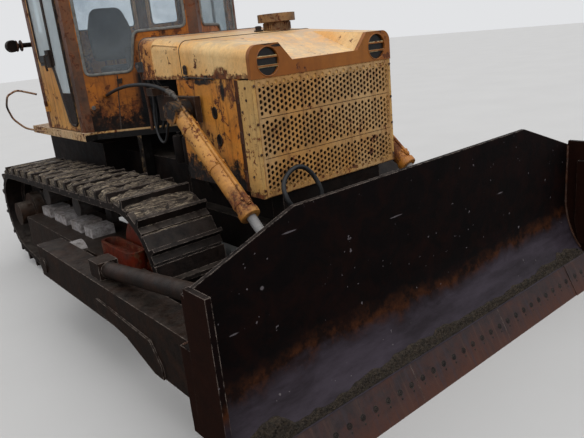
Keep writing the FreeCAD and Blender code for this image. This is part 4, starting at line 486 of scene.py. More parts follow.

# %% [markdown]
# Three panels change from place to place. The hood's rear part was painted at another time, more orange and
# more worn than the front. The cab's front wall is orange beside the hood, and behind the engine, under the
# scuttle, it is painted nearly black for the shade that falls there. The cab floor's side rail is pale with
# dust, but its front edge is dark below a thin worn line. In each, a mask by place mixes two tones.

# %% Hood, front walls and floor
HOOD_REAR_Y = -0.3625
material, tree = blank("hood_paint")
old_part = between(tree, parts_of(tree, object_place(tree))[1], HOOD_REAR_Y - 0.004, HOOD_REAR_Y + 0.004)
worn_places = (((-0.593, -1.21, 1.775), (0.03, 0.09, 0.04)), ((0.593, -0.7, 1.78), (0.03, 0.1, 0.03)),
               ((-0.5, -0.2, 1.99), (0.2, 0.06, 0.07)), ((-0.593, -0.19, 1.82), (0.05, 0.03, 0.05)))
# The hood's heavy Dust is partly real dust and partly a painted sky sheen on its top.
look = place_effect(tree, weathered, {
    "Paint": mixed(tree, old_part, tone(246, 182, 100), tone(200, 120, 42)),
    "Faded": mixed(tree, old_part, tone(254, 212, 146), tone(216, 150, 70)),
    "Stain": calc(tree, "MAXIMUM", stains(tree, worn_places), rust_below(tree, (1.752, 1.79, 30.0))),
    "Chips": between(tree, old_part, 0.0, 1.0, 0.12, 0.45), "Runs": 0.12, "Grime": 0.08, "Edges": 0.35, "Dust": 0.7,
})
hood_paint = shader(material, look["Color"], look["Roughness"], look["Height"], 0.0015, **{"Specular IOR Level": 0.4})

material, tree = blank("front_wall_paint")
spot = parts_of(tree, object_place(tree))
aside = calc(tree, "ABSOLUTE", spot[0])
look = place_effect(tree, weathered, {
    "Paint": tone(188, 112, 34), "Faded": tone(156, 90, 34),
    "Stain": rust_below(tree, (1.4, 1.72, 8.0)), "Oil": rust_below(tree, (1.36, 1.6, 6.0)),
    "Chips": 0.45, "Chip Size": 14.0, "Runs": 1.0, "Grime": 0.7, "Edges": 0.6,
})
# Painted shade: the middle of the wall, under the scuttle, is made nearly black.
painted_shade_under_scuttle = calc(tree, "MULTIPLY", between(tree, aside, 0.46, 0.42), between(tree, spot[2], 1.83, 1.77))
colour = mixed(tree, painted_shade_under_scuttle, look["Color"], tone(10, 8, 9))
front_wall_paint = shader(material, colour, look["Roughness"], look["Height"], 0.0015, **{"Specular IOR Level": 0.25})

material, tree = blank("floor_paint")
spot = parts_of(tree, object_place(tree))
faces = parts_of(tree, put(tree, "NewGeometry", outlet="Normal"))
look = place_effect(tree, weathered, {
    "Paint": tone(216, 168, 104), "Faded": tone(222, 190, 146), "Oil": rust_below(tree, (1.235, 1.275, 9.0)),
    "Chips": 0.5, "Chip Size": 26.0, "Runs": 0.5, "Grime": 0.4, "Edges": 0.3, "Dust": 0.7,
})
below_line = calc(tree, "MULTIPLY", between(tree, faces[1], -0.3, -0.5), between(tree, spot[2], 1.334, 1.326))
colour = mixed(tree, below_line, look["Color"], tone(17, 14, 12))
floor_paint = shader(material, colour, look["Roughness"], look["Height"], 0.0015, **{"Specular IOR Level": 0.3})

# %% Bare steel
roller_steel = bare_steel("roller_steel", (22, 20, 19), (80, 76, 74), (64, 46, 34), Dust=0.5, Grain=12.0)
# Near-black iron. Where it dresses the gearbox, main frame and rear housing, its darkness partly paints the shade under
# the machine.
dark_iron = bare_steel("dark_iron", (9, 8, 8), (30, 26, 24), (44, 28, 20), Rusting=0.4, Dust=0.25, Grain=9.0, gloss=0.12)
arm_steel = bare_steel(
    "arm_steel", (14, 9, 6), (34, 23, 17), (52, 29, 16), Rusting=0.6, Dust=0.15, Edges=1.0, Runs=0.4
)
rod_chrome = bare_steel(
    "rod_chrome", (110, 108, 106), (160, 158, 156), (80, 64, 52), Dust=0.2, Edges=0.1, Grain=6.0, gloss=0.8
)

# %% [markdown]
# The castings that stand on the track frames are newer than the rest, pale grey under streaks of mud. They
# are the only part of that node above its top plate, so a height tells them apart.

# %% Track frames and their pale castings
FRAME_TOP_Z = 0.561
material, tree = blank("track_frame_steel")
values = {"Dark": tone(18, 13, 10), "Light": tone(44, 32, 25), "Rust": tone(56, 34, 21), "Dust": 0.14, "Edges": 1.0}
look = place_effect(tree, steel, values)
cast = place_effect(
    tree, steel,
    {"Dark": tone(104, 99, 97), "Light": tone(204, 198, 196), "Rust": tone(104, 82, 64), "Rusting": 0.45, "Dust": 0.3,
     "Edges": 0.2, "Grain": 26.0},
)
spot = parts_of(tree, object_place(tree))
on_casting = between(tree, spot[2], FRAME_TOP_Z, FRAME_TOP_Z + 0.004)
on_casting = calc(tree, "MULTIPLY", on_casting, between(tree, calc(tree, "ABSOLUTE", spot[0]), 1.094, 1.09))
colour = mixed(tree, on_casting, look["Color"], cast["Color"])
track_frame_steel = shader(material, colour, look["Roughness"], look["Height"], 0.004, **{"Specular IOR Level": 0.2})

# %% [markdown]
# The shoes scrape over stones, so their outer ends are polished pale where they come round the front
# wheel, and so is the tip of the first grouser on top. Elsewhere they are dark with wet earth.

# %% Track shoes
material, tree = blank("track_steel")
look = place_effect(
    tree, steel,
    {"Dark": tone(8, 6, 5), "Light": tone(34, 27, 24), "Rust": tone(46, 30, 22), "Rusting": 0.35, "Dust": 0.3,
     "Edges": 1.0, "Runs": 0.3},
)
place = object_place(tree)
spot = parts_of(tree, place)
outer_end = between(tree, calc(tree, "ABSOLUTE", spot[0]), 1.05, 1.15)
in_front = between(tree, spot[1], -0.68, -0.72)
patches = between(tree, noise(tree, place, 26.0, 6.0, 0.7), 0.46, 0.52)
rubbed = calc(tree, "MULTIPLY", calc(tree, "MULTIPLY", outer_end, in_front), patches)
colour = mixed(tree, rubbed, look["Color"], tone(222, 216, 206))
first_grouser = calc(tree, "MULTIPLY", between(tree, spot[1], -0.77, -0.76), between(tree, spot[1], -0.6, -0.61))
first_grouser = calc(tree, "MULTIPLY", first_grouser, between(tree, spot[2], 1.03, 1.036))
dry = between(tree, noise(tree, place, 17.0, 6.0, 0.7), 0.42, 0.52)
colour = mixed(tree, calc(tree, "MULTIPLY", first_grouser, dry), colour, tone(168, 160, 150))
track_steel = shader(material, colour, look["Roughness"], look["Height"], 0.004, **{"Specular IOR Level": 0.2})

# %% [markdown]
# The cutting edge slides on the ground every day. Its face is greyish pink above and fresh orange rust
# towards the tip, crossed by streaks where water ran down.

# %% Cutting edge
material, tree = blank("edge_steel")
look = place_effect(
    tree, steel,
    {"Dark": tone(34, 25, 26), "Light": tone(56, 42, 41), "Rust": tone(74, 39, 26), "Rusting": 0.6, "Dust": 0.05,
     "Edges": 0.5, "Runs": 0.5, "Grain": 16.0},
)
place = object_place(tree)
height = {0: noise(tree, place, 3.0, 6.0, 0.6), 1: 0.22, 2: parts_of(tree, place)[2]}
tip = between(tree, put(tree, "Math", height, operation="MULTIPLY_ADD"), 0.22, 0.1)
colour = mixed(tree, calc(tree, "MULTIPLY", tip, 0.55), look["Color"], tone(84, 45, 27))
streak = noise(tree, stretched(tree, place, (26.0, 1.5, 1.5)), 1.0, 6.0, 0.75)
colour = mixed(tree, between(tree, streak, 0.54, 0.7, 0.0, 0.5), colour, tone(84, 60, 49))
colour = mixed(tree, between(tree, streak, 0.46, 0.36, 0.0, 0.6), colour, tone(52, 44, 49))
edge_steel = shader(material, colour, look["Roughness"], look["Height"], 0.003, **{"Specular IOR Level": 0.3})

# %% [markdown]
# ### The blade
# The blade's face tells what the machine did last: nearly black above, where wet rust was never
# scoured, orange where it dries between, and polished low down, where the earth slides. The bluish grey
# of that low band is partly a painted reflection of the sky in the wet steel.
# The zones follow the height above the ground, noise bends their borders, and only faces that look
# forwards have them. The end plates are reddish brown.

# %% The blade's finish
material, tree = blank("blade_steel")
look = place_effect(
    tree, steel,
    {"Dark": tone(3, 1, 1), "Light": tone(11, 4, 4), "Rust": tone(40, 14, 6), "Rusting": 0.28,
     "Dust": 0.12, "Edges": 0.95, "Runs": 0.1, "Grain": 7.0},
)
place = object_place(tree)
spot = parts_of(tree, place)
faces = parts_of(tree, put(tree, "NewGeometry", outlet="Normal"))
in_front = calc(tree, "MULTIPLY", between(tree, spot[1], -2.23, -2.26), between(tree, faces[1], -0.3, -0.5))
wavy = noise(tree, place, 1.7, 7.0, 0.6, 0.5)
wavy = put(tree, "Math", {0: wavy, 1: 0.42, 2: spot[2]}, operation="MULTIPLY_ADD")
orange = calc(tree, "MULTIPLY", between(tree, wavy, 0.77, 0.70), between(tree, wavy, 0.62, 0.67))
orange = calc(tree, "MULTIPLY", orange, between(tree, noise(tree, place, 7.0, 7.0, 0.75), 0.44, 0.6, 0.1, 1.0))
scour_and_sky_reflection_band = calc(tree, "MULTIPLY", between(tree, wavy, 0.69, 0.60), in_front)
bands = noise(tree, stretched(tree, place, (2.0, 2.0, 9.0)), 1.0, 6.0, 0.7)
# The low band's tone is scoured steel, and its bluish grey is a painted reflection of the sky in the wet steel.
scour_tone_and_sky_reflection = mixed(tree, between(tree, bands, 0.36, 0.62), tone(40, 34, 38), tone(60, 53, 60))
colour = mixed(tree, calc(tree, "MULTIPLY", orange, in_front), look["Color"], tone(62, 32, 14))
colour = mixed(tree, scour_and_sky_reflection_band, colour, scour_tone_and_sky_reflection)
sideways = between(tree, calc(tree, "ABSOLUTE", faces[0]), 0.6, 0.8)
brown = mixed(tree, noise(tree, place, 13.0, 7.0, 0.7, 0.3), tone(16, 6, 3), tone(46, 19, 8))
colour = mixed(tree, calc(tree, "MULTIPLY", sideways, 0.85), colour, brown)
scrapes = stains(tree, (((-1.04, -2.28, 1.107), (0.05, 0.03, 0.005)), ((-1.222, -2.28, 0.895), (0.012, 0.03, 0.012)),
                        ((-1.405, -2.28, 0.737), (0.03, 0.03, 0.006)), ((-0.3, -2.28, 0.98), (0.05, 0.03, 0.004)),
                        ((0.7, -2.28, 0.86), (0.04, 0.03, 0.006))))
specks = between(tree, noise(tree, place, 34.0, 2.0, 0.5), 0.735, 0.76)
colour = mixed(tree, calc(tree, "MAXIMUM", scrapes, calc(tree, "MULTIPLY", specks, in_front)), colour, tone(96, 90, 92))
rough = between(tree, scour_and_sky_reflection_band, 0.0, 1.0, 0.66, 0.36)
blade_steel = shader(material, colour, rough, look["Height"], 0.003, **{"Specular IOR Level": 0.1})

# %% Rubber, glass, plastic and cloth
rubber, rubber_tree = blank("hose_rubber")
rubber_dust = noise(rubber_tree, object_place(rubber_tree), 30.0, 6.0, 0.7)
hose_rubber = shader(
    rubber,
    mixed(rubber_tree, between(rubber_tree, rubber_dust, 0.45, 0.75), tone(15, 16, 18), tone(46, 46, 46)),
    between(rubber_tree, rubber_dust, 0.3, 0.7, 0.4, 0.7), rubber_dust, 0.0008,
)
glass, glass_tree = blank("window_glass")
haze = noise(glass_tree, object_place(glass_tree), 2.6, 7.0, 0.6, 0.4)
window_glass = shader(
    glass,
    mixed(glass_tree, between(glass_tree, haze, 0.4, 0.7), tone(238, 244, 247), tone(200, 209, 216)),
    between(glass_tree, haze, 0.3, 0.7, 0.02, 0.12),
    **{"Transmission Weight": 0.93, "IOR": 1.02, "Specular IOR Level": 0.6},
)
dusty, dusty_tree = blank("door_glass")
film = noise(dusty_tree, stretched(dusty_tree, object_place(dusty_tree), (3.0, 3.0, 1.2)), 1.0, 6.0, 0.65, 0.3)
door_glass = shader(
    dusty,
    mixed(dusty_tree, between(dusty_tree, film, 0.35, 0.7), tone(240, 248, 250), tone(206, 216, 220)),
    between(dusty_tree, film, 0.3, 0.7, 0.03, 0.2),
    **{"Transmission Weight": 0.5, "IOR": 1.02, "Specular IOR Level": 0.6},
)
lamp, lamp_tree = blank("lamp_glass")
lamp_noise = noise(lamp_tree, object_place(lamp_tree), 30.0)
lamp_glass = shader(
    lamp, mixed(lamp_tree, lamp_noise, tone(10, 9, 8), tone(36, 30, 26)), 0.35, lamp_noise, 0.001
)
plastic, plastic_tree = blank("trim_plastic")
plastic_grain = noise(plastic_tree, object_place(plastic_tree), 240.0, 3.0)
trim_plastic = shader(
    plastic, mixed(plastic_tree, plastic_grain, tone(38, 40, 42), tone(66, 68, 70)), 0.6, plastic_grain, 0.0006
)
seat, seat_tree = blank("seat_cover")
seat_grain = noise(seat_tree, object_place(seat_tree), 180.0, 4.0, 0.7)
seat_cloud = noise(seat_tree, object_place(seat_tree), 5.0, 5.0, 0.6)
seat_cover = shader(
    seat, mixed(seat_tree, seat_cloud, tone(40, 42, 46), tone(72, 76, 82)), 0.62, seat_grain, 0.001
)
core_metal = bare_steel("core_metal", (14, 12, 11), (34, 28, 24), (44, 30, 22), Dust=0.2, Edges=0.1)
pit_dirt = bare_steel("pit_dirt", (9, 7, 6), (26, 20, 17), (44, 28, 20), Dust=0.1, Edges=0.2, Grain=60.0)
weld_rust = bare_steel("weld_rust", (44, 26, 18), (78, 46, 28), (104, 60, 34), Rusting=0.6, Dust=0.1, Edges=0.3)
rusty_black = bare_steel("rusty_black", (18, 16, 15), (44, 36, 30), (74, 46, 30), Dust=0.3, Edges=0.5, Grain=40.0)
fitting_metal = bare_steel("fitting_metal", (52, 50, 48), (112, 108, 102), (70, 56, 46), Dust=0.2, Edges=0.6, Grain=50.0)
old_seal = bare_steel("old_seal", (96, 96, 92), (150, 150, 144), (84, 78, 68), Rusting=0.5, Dust=0.2, Edges=0.1, Grain=36.0)
grey_plate = bare_steel("grey_plate", (48, 50, 52), (68, 70, 72), (62, 56, 50), Dust=0.2, Edges=0.3, Grain=24.0)
pale_slat = paint("lamp_slat", (196, 170, 116), (210, 190, 146), Chips=0.3, Chip_Size=60.0, Grime=0.3)
rail_paint = paint(
    "rail_paint", (164, 122, 92), (196, 168, 140), oily=(((-1.19, 1.4875, 1.55), (0.07, 0.05, 0.2)),),
    Chips=0.5, Chip_Size=50.0, Grime=0.3,
)

# %% Mud
mud_look, tree = blank("mud")
place = object_place(tree)
clod = noise(tree, place, 46.0, 9.0, 0.75, 0.3)
mud_tone = mixed(tree, between(tree, clod, 0.35, 0.65), tone(20, 16, 12), tone(70, 58, 45))
grass = between(tree, noise(tree, stretched(tree, place, (40.0, 40.0, 160.0)), 1.0, 4.0, 0.7), 0.58, 0.66)
mud_tone = mixed(tree, calc(tree, "MULTIPLY", grass, 0.4), mud_tone, tone(74, 70, 42))
mud = shader(mud_look, mud_tone, 0.92, clod, 0.02)

straw_look, tree = blank("track_mud")
place = object_place(tree)
earth = noise(tree, place, 30.0, 9.0, 0.75, 0.4)
earth_tone = mixed(tree, between(tree, earth, 0.38, 0.6), tone(21, 16, 13), tone(84, 72, 61))
straw = noise(tree, stretched(tree, place, (9.0, 90.0, 90.0)), 1.0, 5.0, 0.7, 0.3)
earth_tone = mixed(tree, between(tree, straw, 0.5, 0.62, 0.0, 0.85), earth_tone, tone(170, 154, 130))
wet = between(tree, noise(tree, place, 8.0, 5.0, 0.7), 0.5, 0.62, 0.85, 0.4)
track_mud = shader(straw_look, earth_tone, wet, earth, 0.012, **{"Specular IOR Level": 0.35})

# %% Give the CAD nodes their finishes
dress(hood_paint, "hood")
dress(nose_paint, "nose_panel")
dress(side_paint, "engine_side_panels")
dress(cowl_paint, "radiator_cowl")
dress(grille_paint, "grille")
dress(cab_paint, "cab_rear_walls")
dress(scuttle_paint, "scuttle")
dress(door_paint, "door_R", "door_L")
dress(front_wall_paint, "cab_front_walls")
dress(floor_paint, "cab_floor")
dress(pillar_paint, "cab_pillars")
dress(roof_paint, "cab_roof")
dress(tank_paint, "fuel_tank")
dress(cylinder_paint, "lift_barrel_R", "lift_barrel_L")
dress(cleaner_paint, "air_precleaner")
dress(wheel_paint, "idlers", "idler_bearings")
dress(frame_steel, "equaliser_beam", "drawbar", "final_drives", "lift_brackets")
dress(track_frame_steel, "track_frame_R", "track_frame_L")
dress(track_steel, "track_R", "track_L", "sprockets")
dress(roller_steel, "lower_rollers", "upper_rollers")
# The gearbox, main frame and rear housing take the near-black iron partly as painted shade: they lie in the deep shade
# under the machine.
dress(dark_iron, "engine_block", "gearbox", "rear_bar", "main_frame", "rear_housing")
dress(blade_steel, "mouldboard", "blade_back", "wing_plate", "rod_lugs")
dress(arm_steel, "push_arm_R", "push_arm_L", "brace_R", "brace_L")
dress(edge_steel, "cutting_edge", "end_bits")
dress(rod_chrome, "lift_rod_R", "lift_rod_L")
dress(window_glass, "cab_glass")
dress(door_glass, "door_glass_R", "door_glass_L")
dress(lamp_glass, "headlamps")
dress(trim_plastic, "console")
dress(seat_cover, "seat")
dress(core_metal, "radiator_core")
print("finishes:", len(bpy.data.materials))

# %% [markdown]
# ## Hoses
# A hydraulic hose is a fixed length of stiff rubber. Each follows the route of its CAD tube, as the
# control points of one smooth NURBS curve. The order and the end points of the spline are set after its
# points are added, because only then does Blender keep them.

# %% Hoses
GRILLE_FRONT = 1.5125
LIFT_ROUTE = ((-650, 1927, 1633), (-668, 1770, 1664), (-692, 1580, 1694), (-710, 1390, 1716),
              (-720, 1200, 1727), (-723, 1030, 1727), (-722, 880, 1712), (-720, 760, 1683))
HEAD_ROUTE = ((-690, 1030, 1648), (-694, 1046, 1560), (-700, 1052, 1470), (-706, 1030, 1388),
              (-712, 978, 1334), (-716, 915, 1334), (-718, 872, 1382), (-720, 846, 1440), (-720, 818, 1480))
GRILLE_ROUTE = ((-400, 16.5, 900), (-420, -70, 902), (-470, -125, 950), (-520, -118, 1030),
                (-512, -80, 1112), (-450, -64, 1172), (-366, -62, 1198), (-298, -66, 1168),
                (-250, -84, 1100), (-232, -112, 1015), (-240, -112, 930), (-262, -62, 862), (-275, 16.5, 850))


def route_in_metres(route, side):
    """Route points in millimetres from the grille's front, to metres in the frame; side -1 mirrors x."""
    return np.array(route) * (side, 1, 1) / 1000 - (0, GRILLE_FRONT, 0)


def hose(name, node, route, side, diameter):
    """One hose: a bevelled NURBS curve along the route, in place of its CAD tube."""
    points = route_in_metres(route, side)
    curve = bpy.data.curves.new(name, "CURVE")
    curve.dimensions = "3D"
    curve.bevel_depth = diameter / 2
    curve.bevel_resolution = 5
    curve.use_fill_caps = True
    spline = curve.splines.new("NURBS")
    spline.points.add(len(points) - 1)
    spline.points.foreach_set("co", np.c_[points, np.ones(len(points))].ravel())
    spline.order_u = 3
    spline.use_endpoint_u = True
    spline.resolution_u = 12
    made = bpy.data.objects.new(name, curve)
    bpy.context.scene.collection.objects.link(made)
    curve.materials.append(hose_rubber)
    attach(made, "tractor")
    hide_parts(node)
    return made


for side, letter in ((1, "R"), (-1, "L")):
    hose("lift_hose_line_" + letter, "lift_hose_" + letter, LIFT_ROUTE, side, 0.025)
    hose("head_hose_line_" + letter, "head_hose_" + letter, HEAD_ROUTE, side, 0.018)
hose("grille_hose_line", "grille_hose", GRILLE_ROUTE, 1, 0.030)

# %% [markdown]
# ## Words for making shapes
# Every new piece is worked out with numpy as arrays of points and faces. A shape here is a pair: its
# points, and its faces as rows of point numbers. Three makers are enough for most of a machine: a profile
# turned about an axis, a profile carried along a path, and a flat outline with a thickness.

# %% Helpers for shapes
def unit(vectors):
    """Vectors divided by their own lengths."""
    vectors = np.asarray(vectors, float)
    return vectors / np.linalg.norm(vectors, axis=-1, keepdims=True)


def grid_faces(rows, columns, closed_rows=False, closed_columns=False):
    """Quads between neighbours of a grid of points that is counted row by row."""
    row, column = np.meshgrid(
        np.arange(rows - (not closed_rows)), np.arange(columns - (not closed_columns)), indexing="ij"
    )
    next_row, next_column = (row + 1) % rows, (column + 1) % columns
    quads = (row * columns + column, row * columns + next_column,
             next_row * columns + next_column, next_row * columns + column)
    return np.stack(quads, -1).reshape(-1, 4).tolist()


def together(*shapes):
    """Several shapes as one: the points in a row, and each face list counted on from the last."""
    starts = np.cumsum([0] + [len(points) for points, faces in shapes[:-1]])
    faces = [[i + start for i in face] for (points, rows), start in zip(shapes, starts.tolist()) for face in rows]
    return np.concatenate([points for points, rows in shapes]), faces


def turned(profile, sides=24):
    """A surface of revolution about Z: a profile point (r, h) becomes (r cos a, r sin a, h) for angles a."""
    radius, along = np.asarray(profile, float).T
    angle = np.linspace(0, 2 * np.pi, sides, endpoint=False)
    points = np.stack((radius[:, None] * np.cos(angle), radius[:, None] * np.sin(angle),
                       np.repeat(along[:, None], sides, 1)), -1)
    return points.reshape(-1, 3), grid_faces(len(radius), sides, closed_columns=True)


def carried(path, section, out, closed=False):
    """A closed profile carried along a path: path + a * across + b * lift. Across is the path's direction
    crossed with the out vector, and lift is across crossed with the direction."""
    path, section = np.asarray(path, float), np.asarray(section, float)
    ahead = np.roll(path, -1, 0) - np.roll(path, 1, 0) if closed else np.gradient(path, axis=0)
    across = unit(np.cross(unit(ahead), out))
    lift = np.cross(across, unit(ahead))
    points = path[:, None] + section[None, :, :1] * across[:, None] + section[None, :, 1:] * lift[:, None]
    faces = grid_faces(len(path), len(section), closed, True)
    if not closed:
        last = (len(path) - 1) * len(section)
        faces += [list(range(len(section)))[::-1], [last + i for i in range(len(section))]]
    return points.reshape(-1, 3), faces


def ring(radius, sides=10, squash=1.0):
    """A round profile: (r cos a, r sin a), pressed flat by squash."""
    angle = np.linspace(0, 2 * np.pi, sides, endpoint=False)
    return np.stack((radius * np.cos(angle), squash * radius * np.sin(angle)), -1)


def slab(outline, thick, origin=(0, 0, 0), first=(1, 0, 0), second=(0, 1, 0)):
    """A flat outline (a, b) at origin + a * first + b * second, and its copy moved back by the thickness."""
    first, second = unit(first), unit(second)
    front = np.asarray(origin, float) + np.asarray(outline, float) @ np.stack((first, second))
    count = len(front)
    points = np.concatenate((front, front - thick * np.cross(first, second)))
    faces = [list(range(count)), [2 * count - 1 - i for i in range(count)]]
    faces += [[i, i + count, (i + 1) % count + count, (i + 1) % count] for i in range(count)]
    return points, faces


def block(low, high):
    """An upright block between two corners."""
    (x0, y0, z0), (x1, y1, z1) = low, high
    return slab(((x0, y0), (x1, y0), (x1, y1), (x0, y1)), z1 - z0, (0, 0, z1))


def rounded_ring(corners, radius, steps=6):
    """A polygon with rounded corners: each corner C becomes the curve (1-t)^2 A + 2t(1-t) C + t^2 B, where
    A and B lie a radius before and after it."""
    corners = np.asarray(corners, float)
    before = corners + radius * unit(np.roll(corners, 1, 0) - corners)
    after = corners + radius * unit(np.roll(corners, -1, 0) - corners)
    t = np.linspace(0, 1, steps)[None, :, None]
    curve = (1 - t) ** 2 * before[:, None] + 2 * t * (1 - t) * corners[:, None] + t ** 2 * after[:, None]
    return curve.reshape(-1, corners.shape[1])


def aimed(shape, places, direction, hint=(0, 0, 1)):
    """Copies of a shape made about Z, turned so that Z points in the direction, one at each place."""
    points, faces = shape
    axis = unit(direction)
    side = unit(np.cross(hint, axis)) if abs(np.dot(unit(hint), axis)) < 0.99 else np.array((1.0, 0, 0))
    matrix = np.stack((side, np.cross(axis, side), axis))
    places = np.asarray(places, float).reshape(-1, 3)
    spread = places[:, None] + (points @ matrix)[None]
    rows = [[i + n * len(points) for i in face] for n in range(len(places)) for face in faces]
    return spread.reshape(-1, 3), rows


def mirrored(shape):
    """The shape on the machine's other side: x becomes -x, and faces turn round."""
    points, faces = shape
    return points * (-1, 1, 1), [face[::-1] for face in faces]


def both_sides(shape):
    return together(shape, mirrored(shape))


def ripple(seed, scale, *places):
    """Seeded bumps from -1 to 1: a mean of sines with random directions, of the given scale in metres."""
    draw = np.random.default_rng(seed)
    waves = draw.normal(0, 2 * np.pi / scale, (28, len(places)))
    shifts = draw.uniform(0, 2 * np.pi, 28)
    spots = np.stack(np.broadcast_arrays(*places), -1)
    return np.sin(spots @ waves.T + shifts).sum(-1) / 28 ** 0.5


def piece(name, shape, material, body, bevel=0.0, sharp=35.0):
    """Makes a mesh object of a shape, welded, with its faces outwards, and lets it ride on a body."""
    points, faces = shape
    mesh = bpy.data.meshes.new(name)
    mesh.from_pydata(points.tolist(), [], faces)
    work = bmesh.new()
    work.from_mesh(mesh)
    bmesh.ops.remove_doubles(work, verts=work.verts, dist=1e-5)
    bmesh.ops.recalc_face_normals(work, faces=work.faces)
    work.to_mesh(mesh)
    work.free()
    mesh.polygons.foreach_set("use_smooth", np.ones(len(mesh.polygons), bool))
    mesh.set_sharp_from_angle(angle=math.radians(sharp))
    mesh.materials.append(material)
    made = bpy.data.objects.new(name, mesh)
    bpy.context.scene.collection.objects.link(made)
    if bevel:
        modifier = made.modifiers.new("rounded edges", "BEVEL")
        modifier.width = bevel
        modifier.segments = 2
        modifier.limit_method = "ANGLE"
    if body:
        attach(made, body)
    print(name, len(mesh.vertices), "points")
    return made


def from_grille(points):
    """Millimetres from the grille's front, as the CAD sizes are given, to metres in the frame."""
    return np.asarray(points, float) / 1000 - (0, GRILLE_FRONT, 0)


def hex_bolt(radius, washer=1.35):
    """A washer and a six-sided head about Z, with its seat at z = 0."""
    tall = 0.65 * radius
    under = turned(((0, -0.001), (radius * washer, -0.001), (radius * washer, 0.2 * tall), (0, 0.2 * tall)), 16)
    head = turned(((0, 0), (radius, 0), (radius, 0.85 * tall), (0.86 * radius, tall), (0, tall)), 6)
    return together(under, head)


# %% [markdown]
# ## The blade
# The cutting edge is bolted on through countersunk holes, so that worn pieces can be turned round and
# changed. Their heads lie in dirty pits in the face of the edge, nine to a piece, each with a small dark
# mark below it, painted shadow and dirt. Along the joint above them earth and grass stick in a lumpy bank,
# and weld beads run where the end plates meet the board.

# %% Bolts of the cutting edge
EDGE_FOOT, EDGE_HEAD = from_grille((0, -1029, 0)), from_grille((0, -924, 200))
EDGE_UP = unit(EDGE_HEAD - EDGE_FOOT)
EDGE_OUT = np.cross((-1, 0, 0), EDGE_UP)
EDGE_OUT = EDGE_OUT if EDGE_OUT[1] < 0 else -EDGE_OUT
PIECE_HALF, BOLT_STEP = 1.275 / 3, 0.0944

pitch = (np.arange(9) - 4) * BOLT_STEP
columns = (np.array((-2, 0, 2))[:, None] * PIECE_HALF + pitch).ravel()
columns = np.concatenate((columns, [s * (1.275 + d) for s in (-1, 1) for d in (0.07, 0.165, 0.26)]))
bolt_spots = np.stack((columns, np.zeros(len(columns)), np.zeros(len(columns))), -1) + EDGE_FOOT + EDGE_UP * 0.122
pit = turned(((0, 0.0015), (0.007, 0.0025), (0.0095, 0.0008), (0.013, 0.0006), (0.017, 0.0014), (0.019, -0.001)), 14)
pits = aimed(pit, bolt_spots + EDGE_OUT * 0.0005, EDGE_OUT)
# A small dark mark below each bolt: painted shadow, with dirt.
shadow = turned(((0, 0.0008), (0.005, 0.0012), (0.008, -0.001)), 10)
shadow_and_dirt_marks = aimed(shadow, bolt_spots - EDGE_UP * 0.034, EDGE_OUT)
proud = np.where(np.abs(columns) > 1.275, 0.006, 0.0)
pits = (pits[0] + np.repeat(proud, len(pit[0]))[:, None] * EDGE_OUT, pits[1])
shadow_and_dirt_marks = (shadow_and_dirt_marks[0] + np.repeat(proud, len(shadow[0]))[:, None] * EDGE_OUT, shadow_and_dirt_marks[1])
piece("edge_bolts", together(pits, shadow_and_dirt_marks), pit_dirt, "blade")

# %% [markdown]
# The board's face is an upright plane above and an arc below. One function gives a point of it for any
# height, and the mud, the beads and the scrapes all lie on it.

# %% Mud bank and weld beads
BEND_Z, BEND_RADIUS = 0.62, 0.63125
FACE_TOP_Y = (-770 - 1512.5) / 1000
ARC_CENTRE_Y = FACE_TOP_Y - BEND_RADIUS


def board_face(x, z, off=0.0):
    """Points on the board's face: upright above the bend, and below it on the arc about (centre y, bend z).
    off moves them out of the face, towards the arc's centre."""
    down = np.minimum(z - BEND_Z, 0)
    flat_y = ARC_CENTRE_Y + np.sqrt(BEND_RADIUS ** 2 - down ** 2)
    inward_y, inward_z = (ARC_CENTRE_Y - flat_y) / BEND_RADIUS, -down / BEND_RADIUS
    x, flat_y, z, off = np.broadcast_arrays(x, flat_y, z, off)
    return np.stack((x, flat_y + off * inward_y, z + off * inward_z), -1)


def bank(x_low, x_high, foot, tall, deep, seed, count=640, rows=18):
    """A closed lumpy strip on the board: height foot + tall * v, off the face by deep * sin(pi v)^0.6."""
    x = np.linspace(x_low, x_high, count)[:, None]
    v = np.linspace(0, 1, rows)[None]
    ends = np.clip(np.minimum(x - x_low, x_high - x) / 0.08, 0, 1) ** 0.5
    reach = tall * ends * (1 + 0.4 * ripple(seed, 0.7, x) + 0.13 * ripple(seed + 1, 0.14, x))
    z = foot + reach * v
    lump = 1 + 0.35 * ripple(seed + 2, 0.09, x, z) + 0.6 * ripple(seed + 3, 0.018, x, z)
    off = deep * ends * np.sin(np.pi * v) ** 0.6 * np.clip(lump, 0.15, None)
    front = board_face(x, z, off)
    rear = board_face(x, z, -0.002 + 0 * off)[:, ::-1]
    rows_all = np.concatenate((front, rear), 1)
    faces = grid_faces(count, 2 * rows, closed_columns=True)
    return rows_all.reshape(-1, 3), faces


banks = together(bank(-1.57, 1.565, 0.205, 0.042, 0.016, 11), bank(-1.575, -1.2, 0.203, 0.07, 0.018, 31, 140, 20),
                 bank(1.2, 1.575, 0.203, 0.07, 0.018, 41, 140, 20))
piece("mud_bank", banks, mud, "blade", sharp=80)


def bead(path, out, radius=0.006, step=0.009):
    """A weld bead: a half-round profile along a path, whose size swells and shrinks once a step."""
    path = np.asarray(path, float)
    lengths = np.r_[0, np.cumsum(np.linalg.norm(np.diff(path, axis=0), axis=1))]
    fine = np.arange(0, lengths[-1], step / 4)
    dense = np.stack([np.interp(fine, lengths, path[:, i]) for i in range(3)], -1)
    points, faces = carried(dense, ring(radius, 8), out)
    swell = 0.8 + 0.25 * np.abs(np.sin(np.pi * fine / step))
    centre = np.repeat(dense, 8, 0)
    return centre + (points - centre) * np.repeat(swell, 8)[:, None], faces


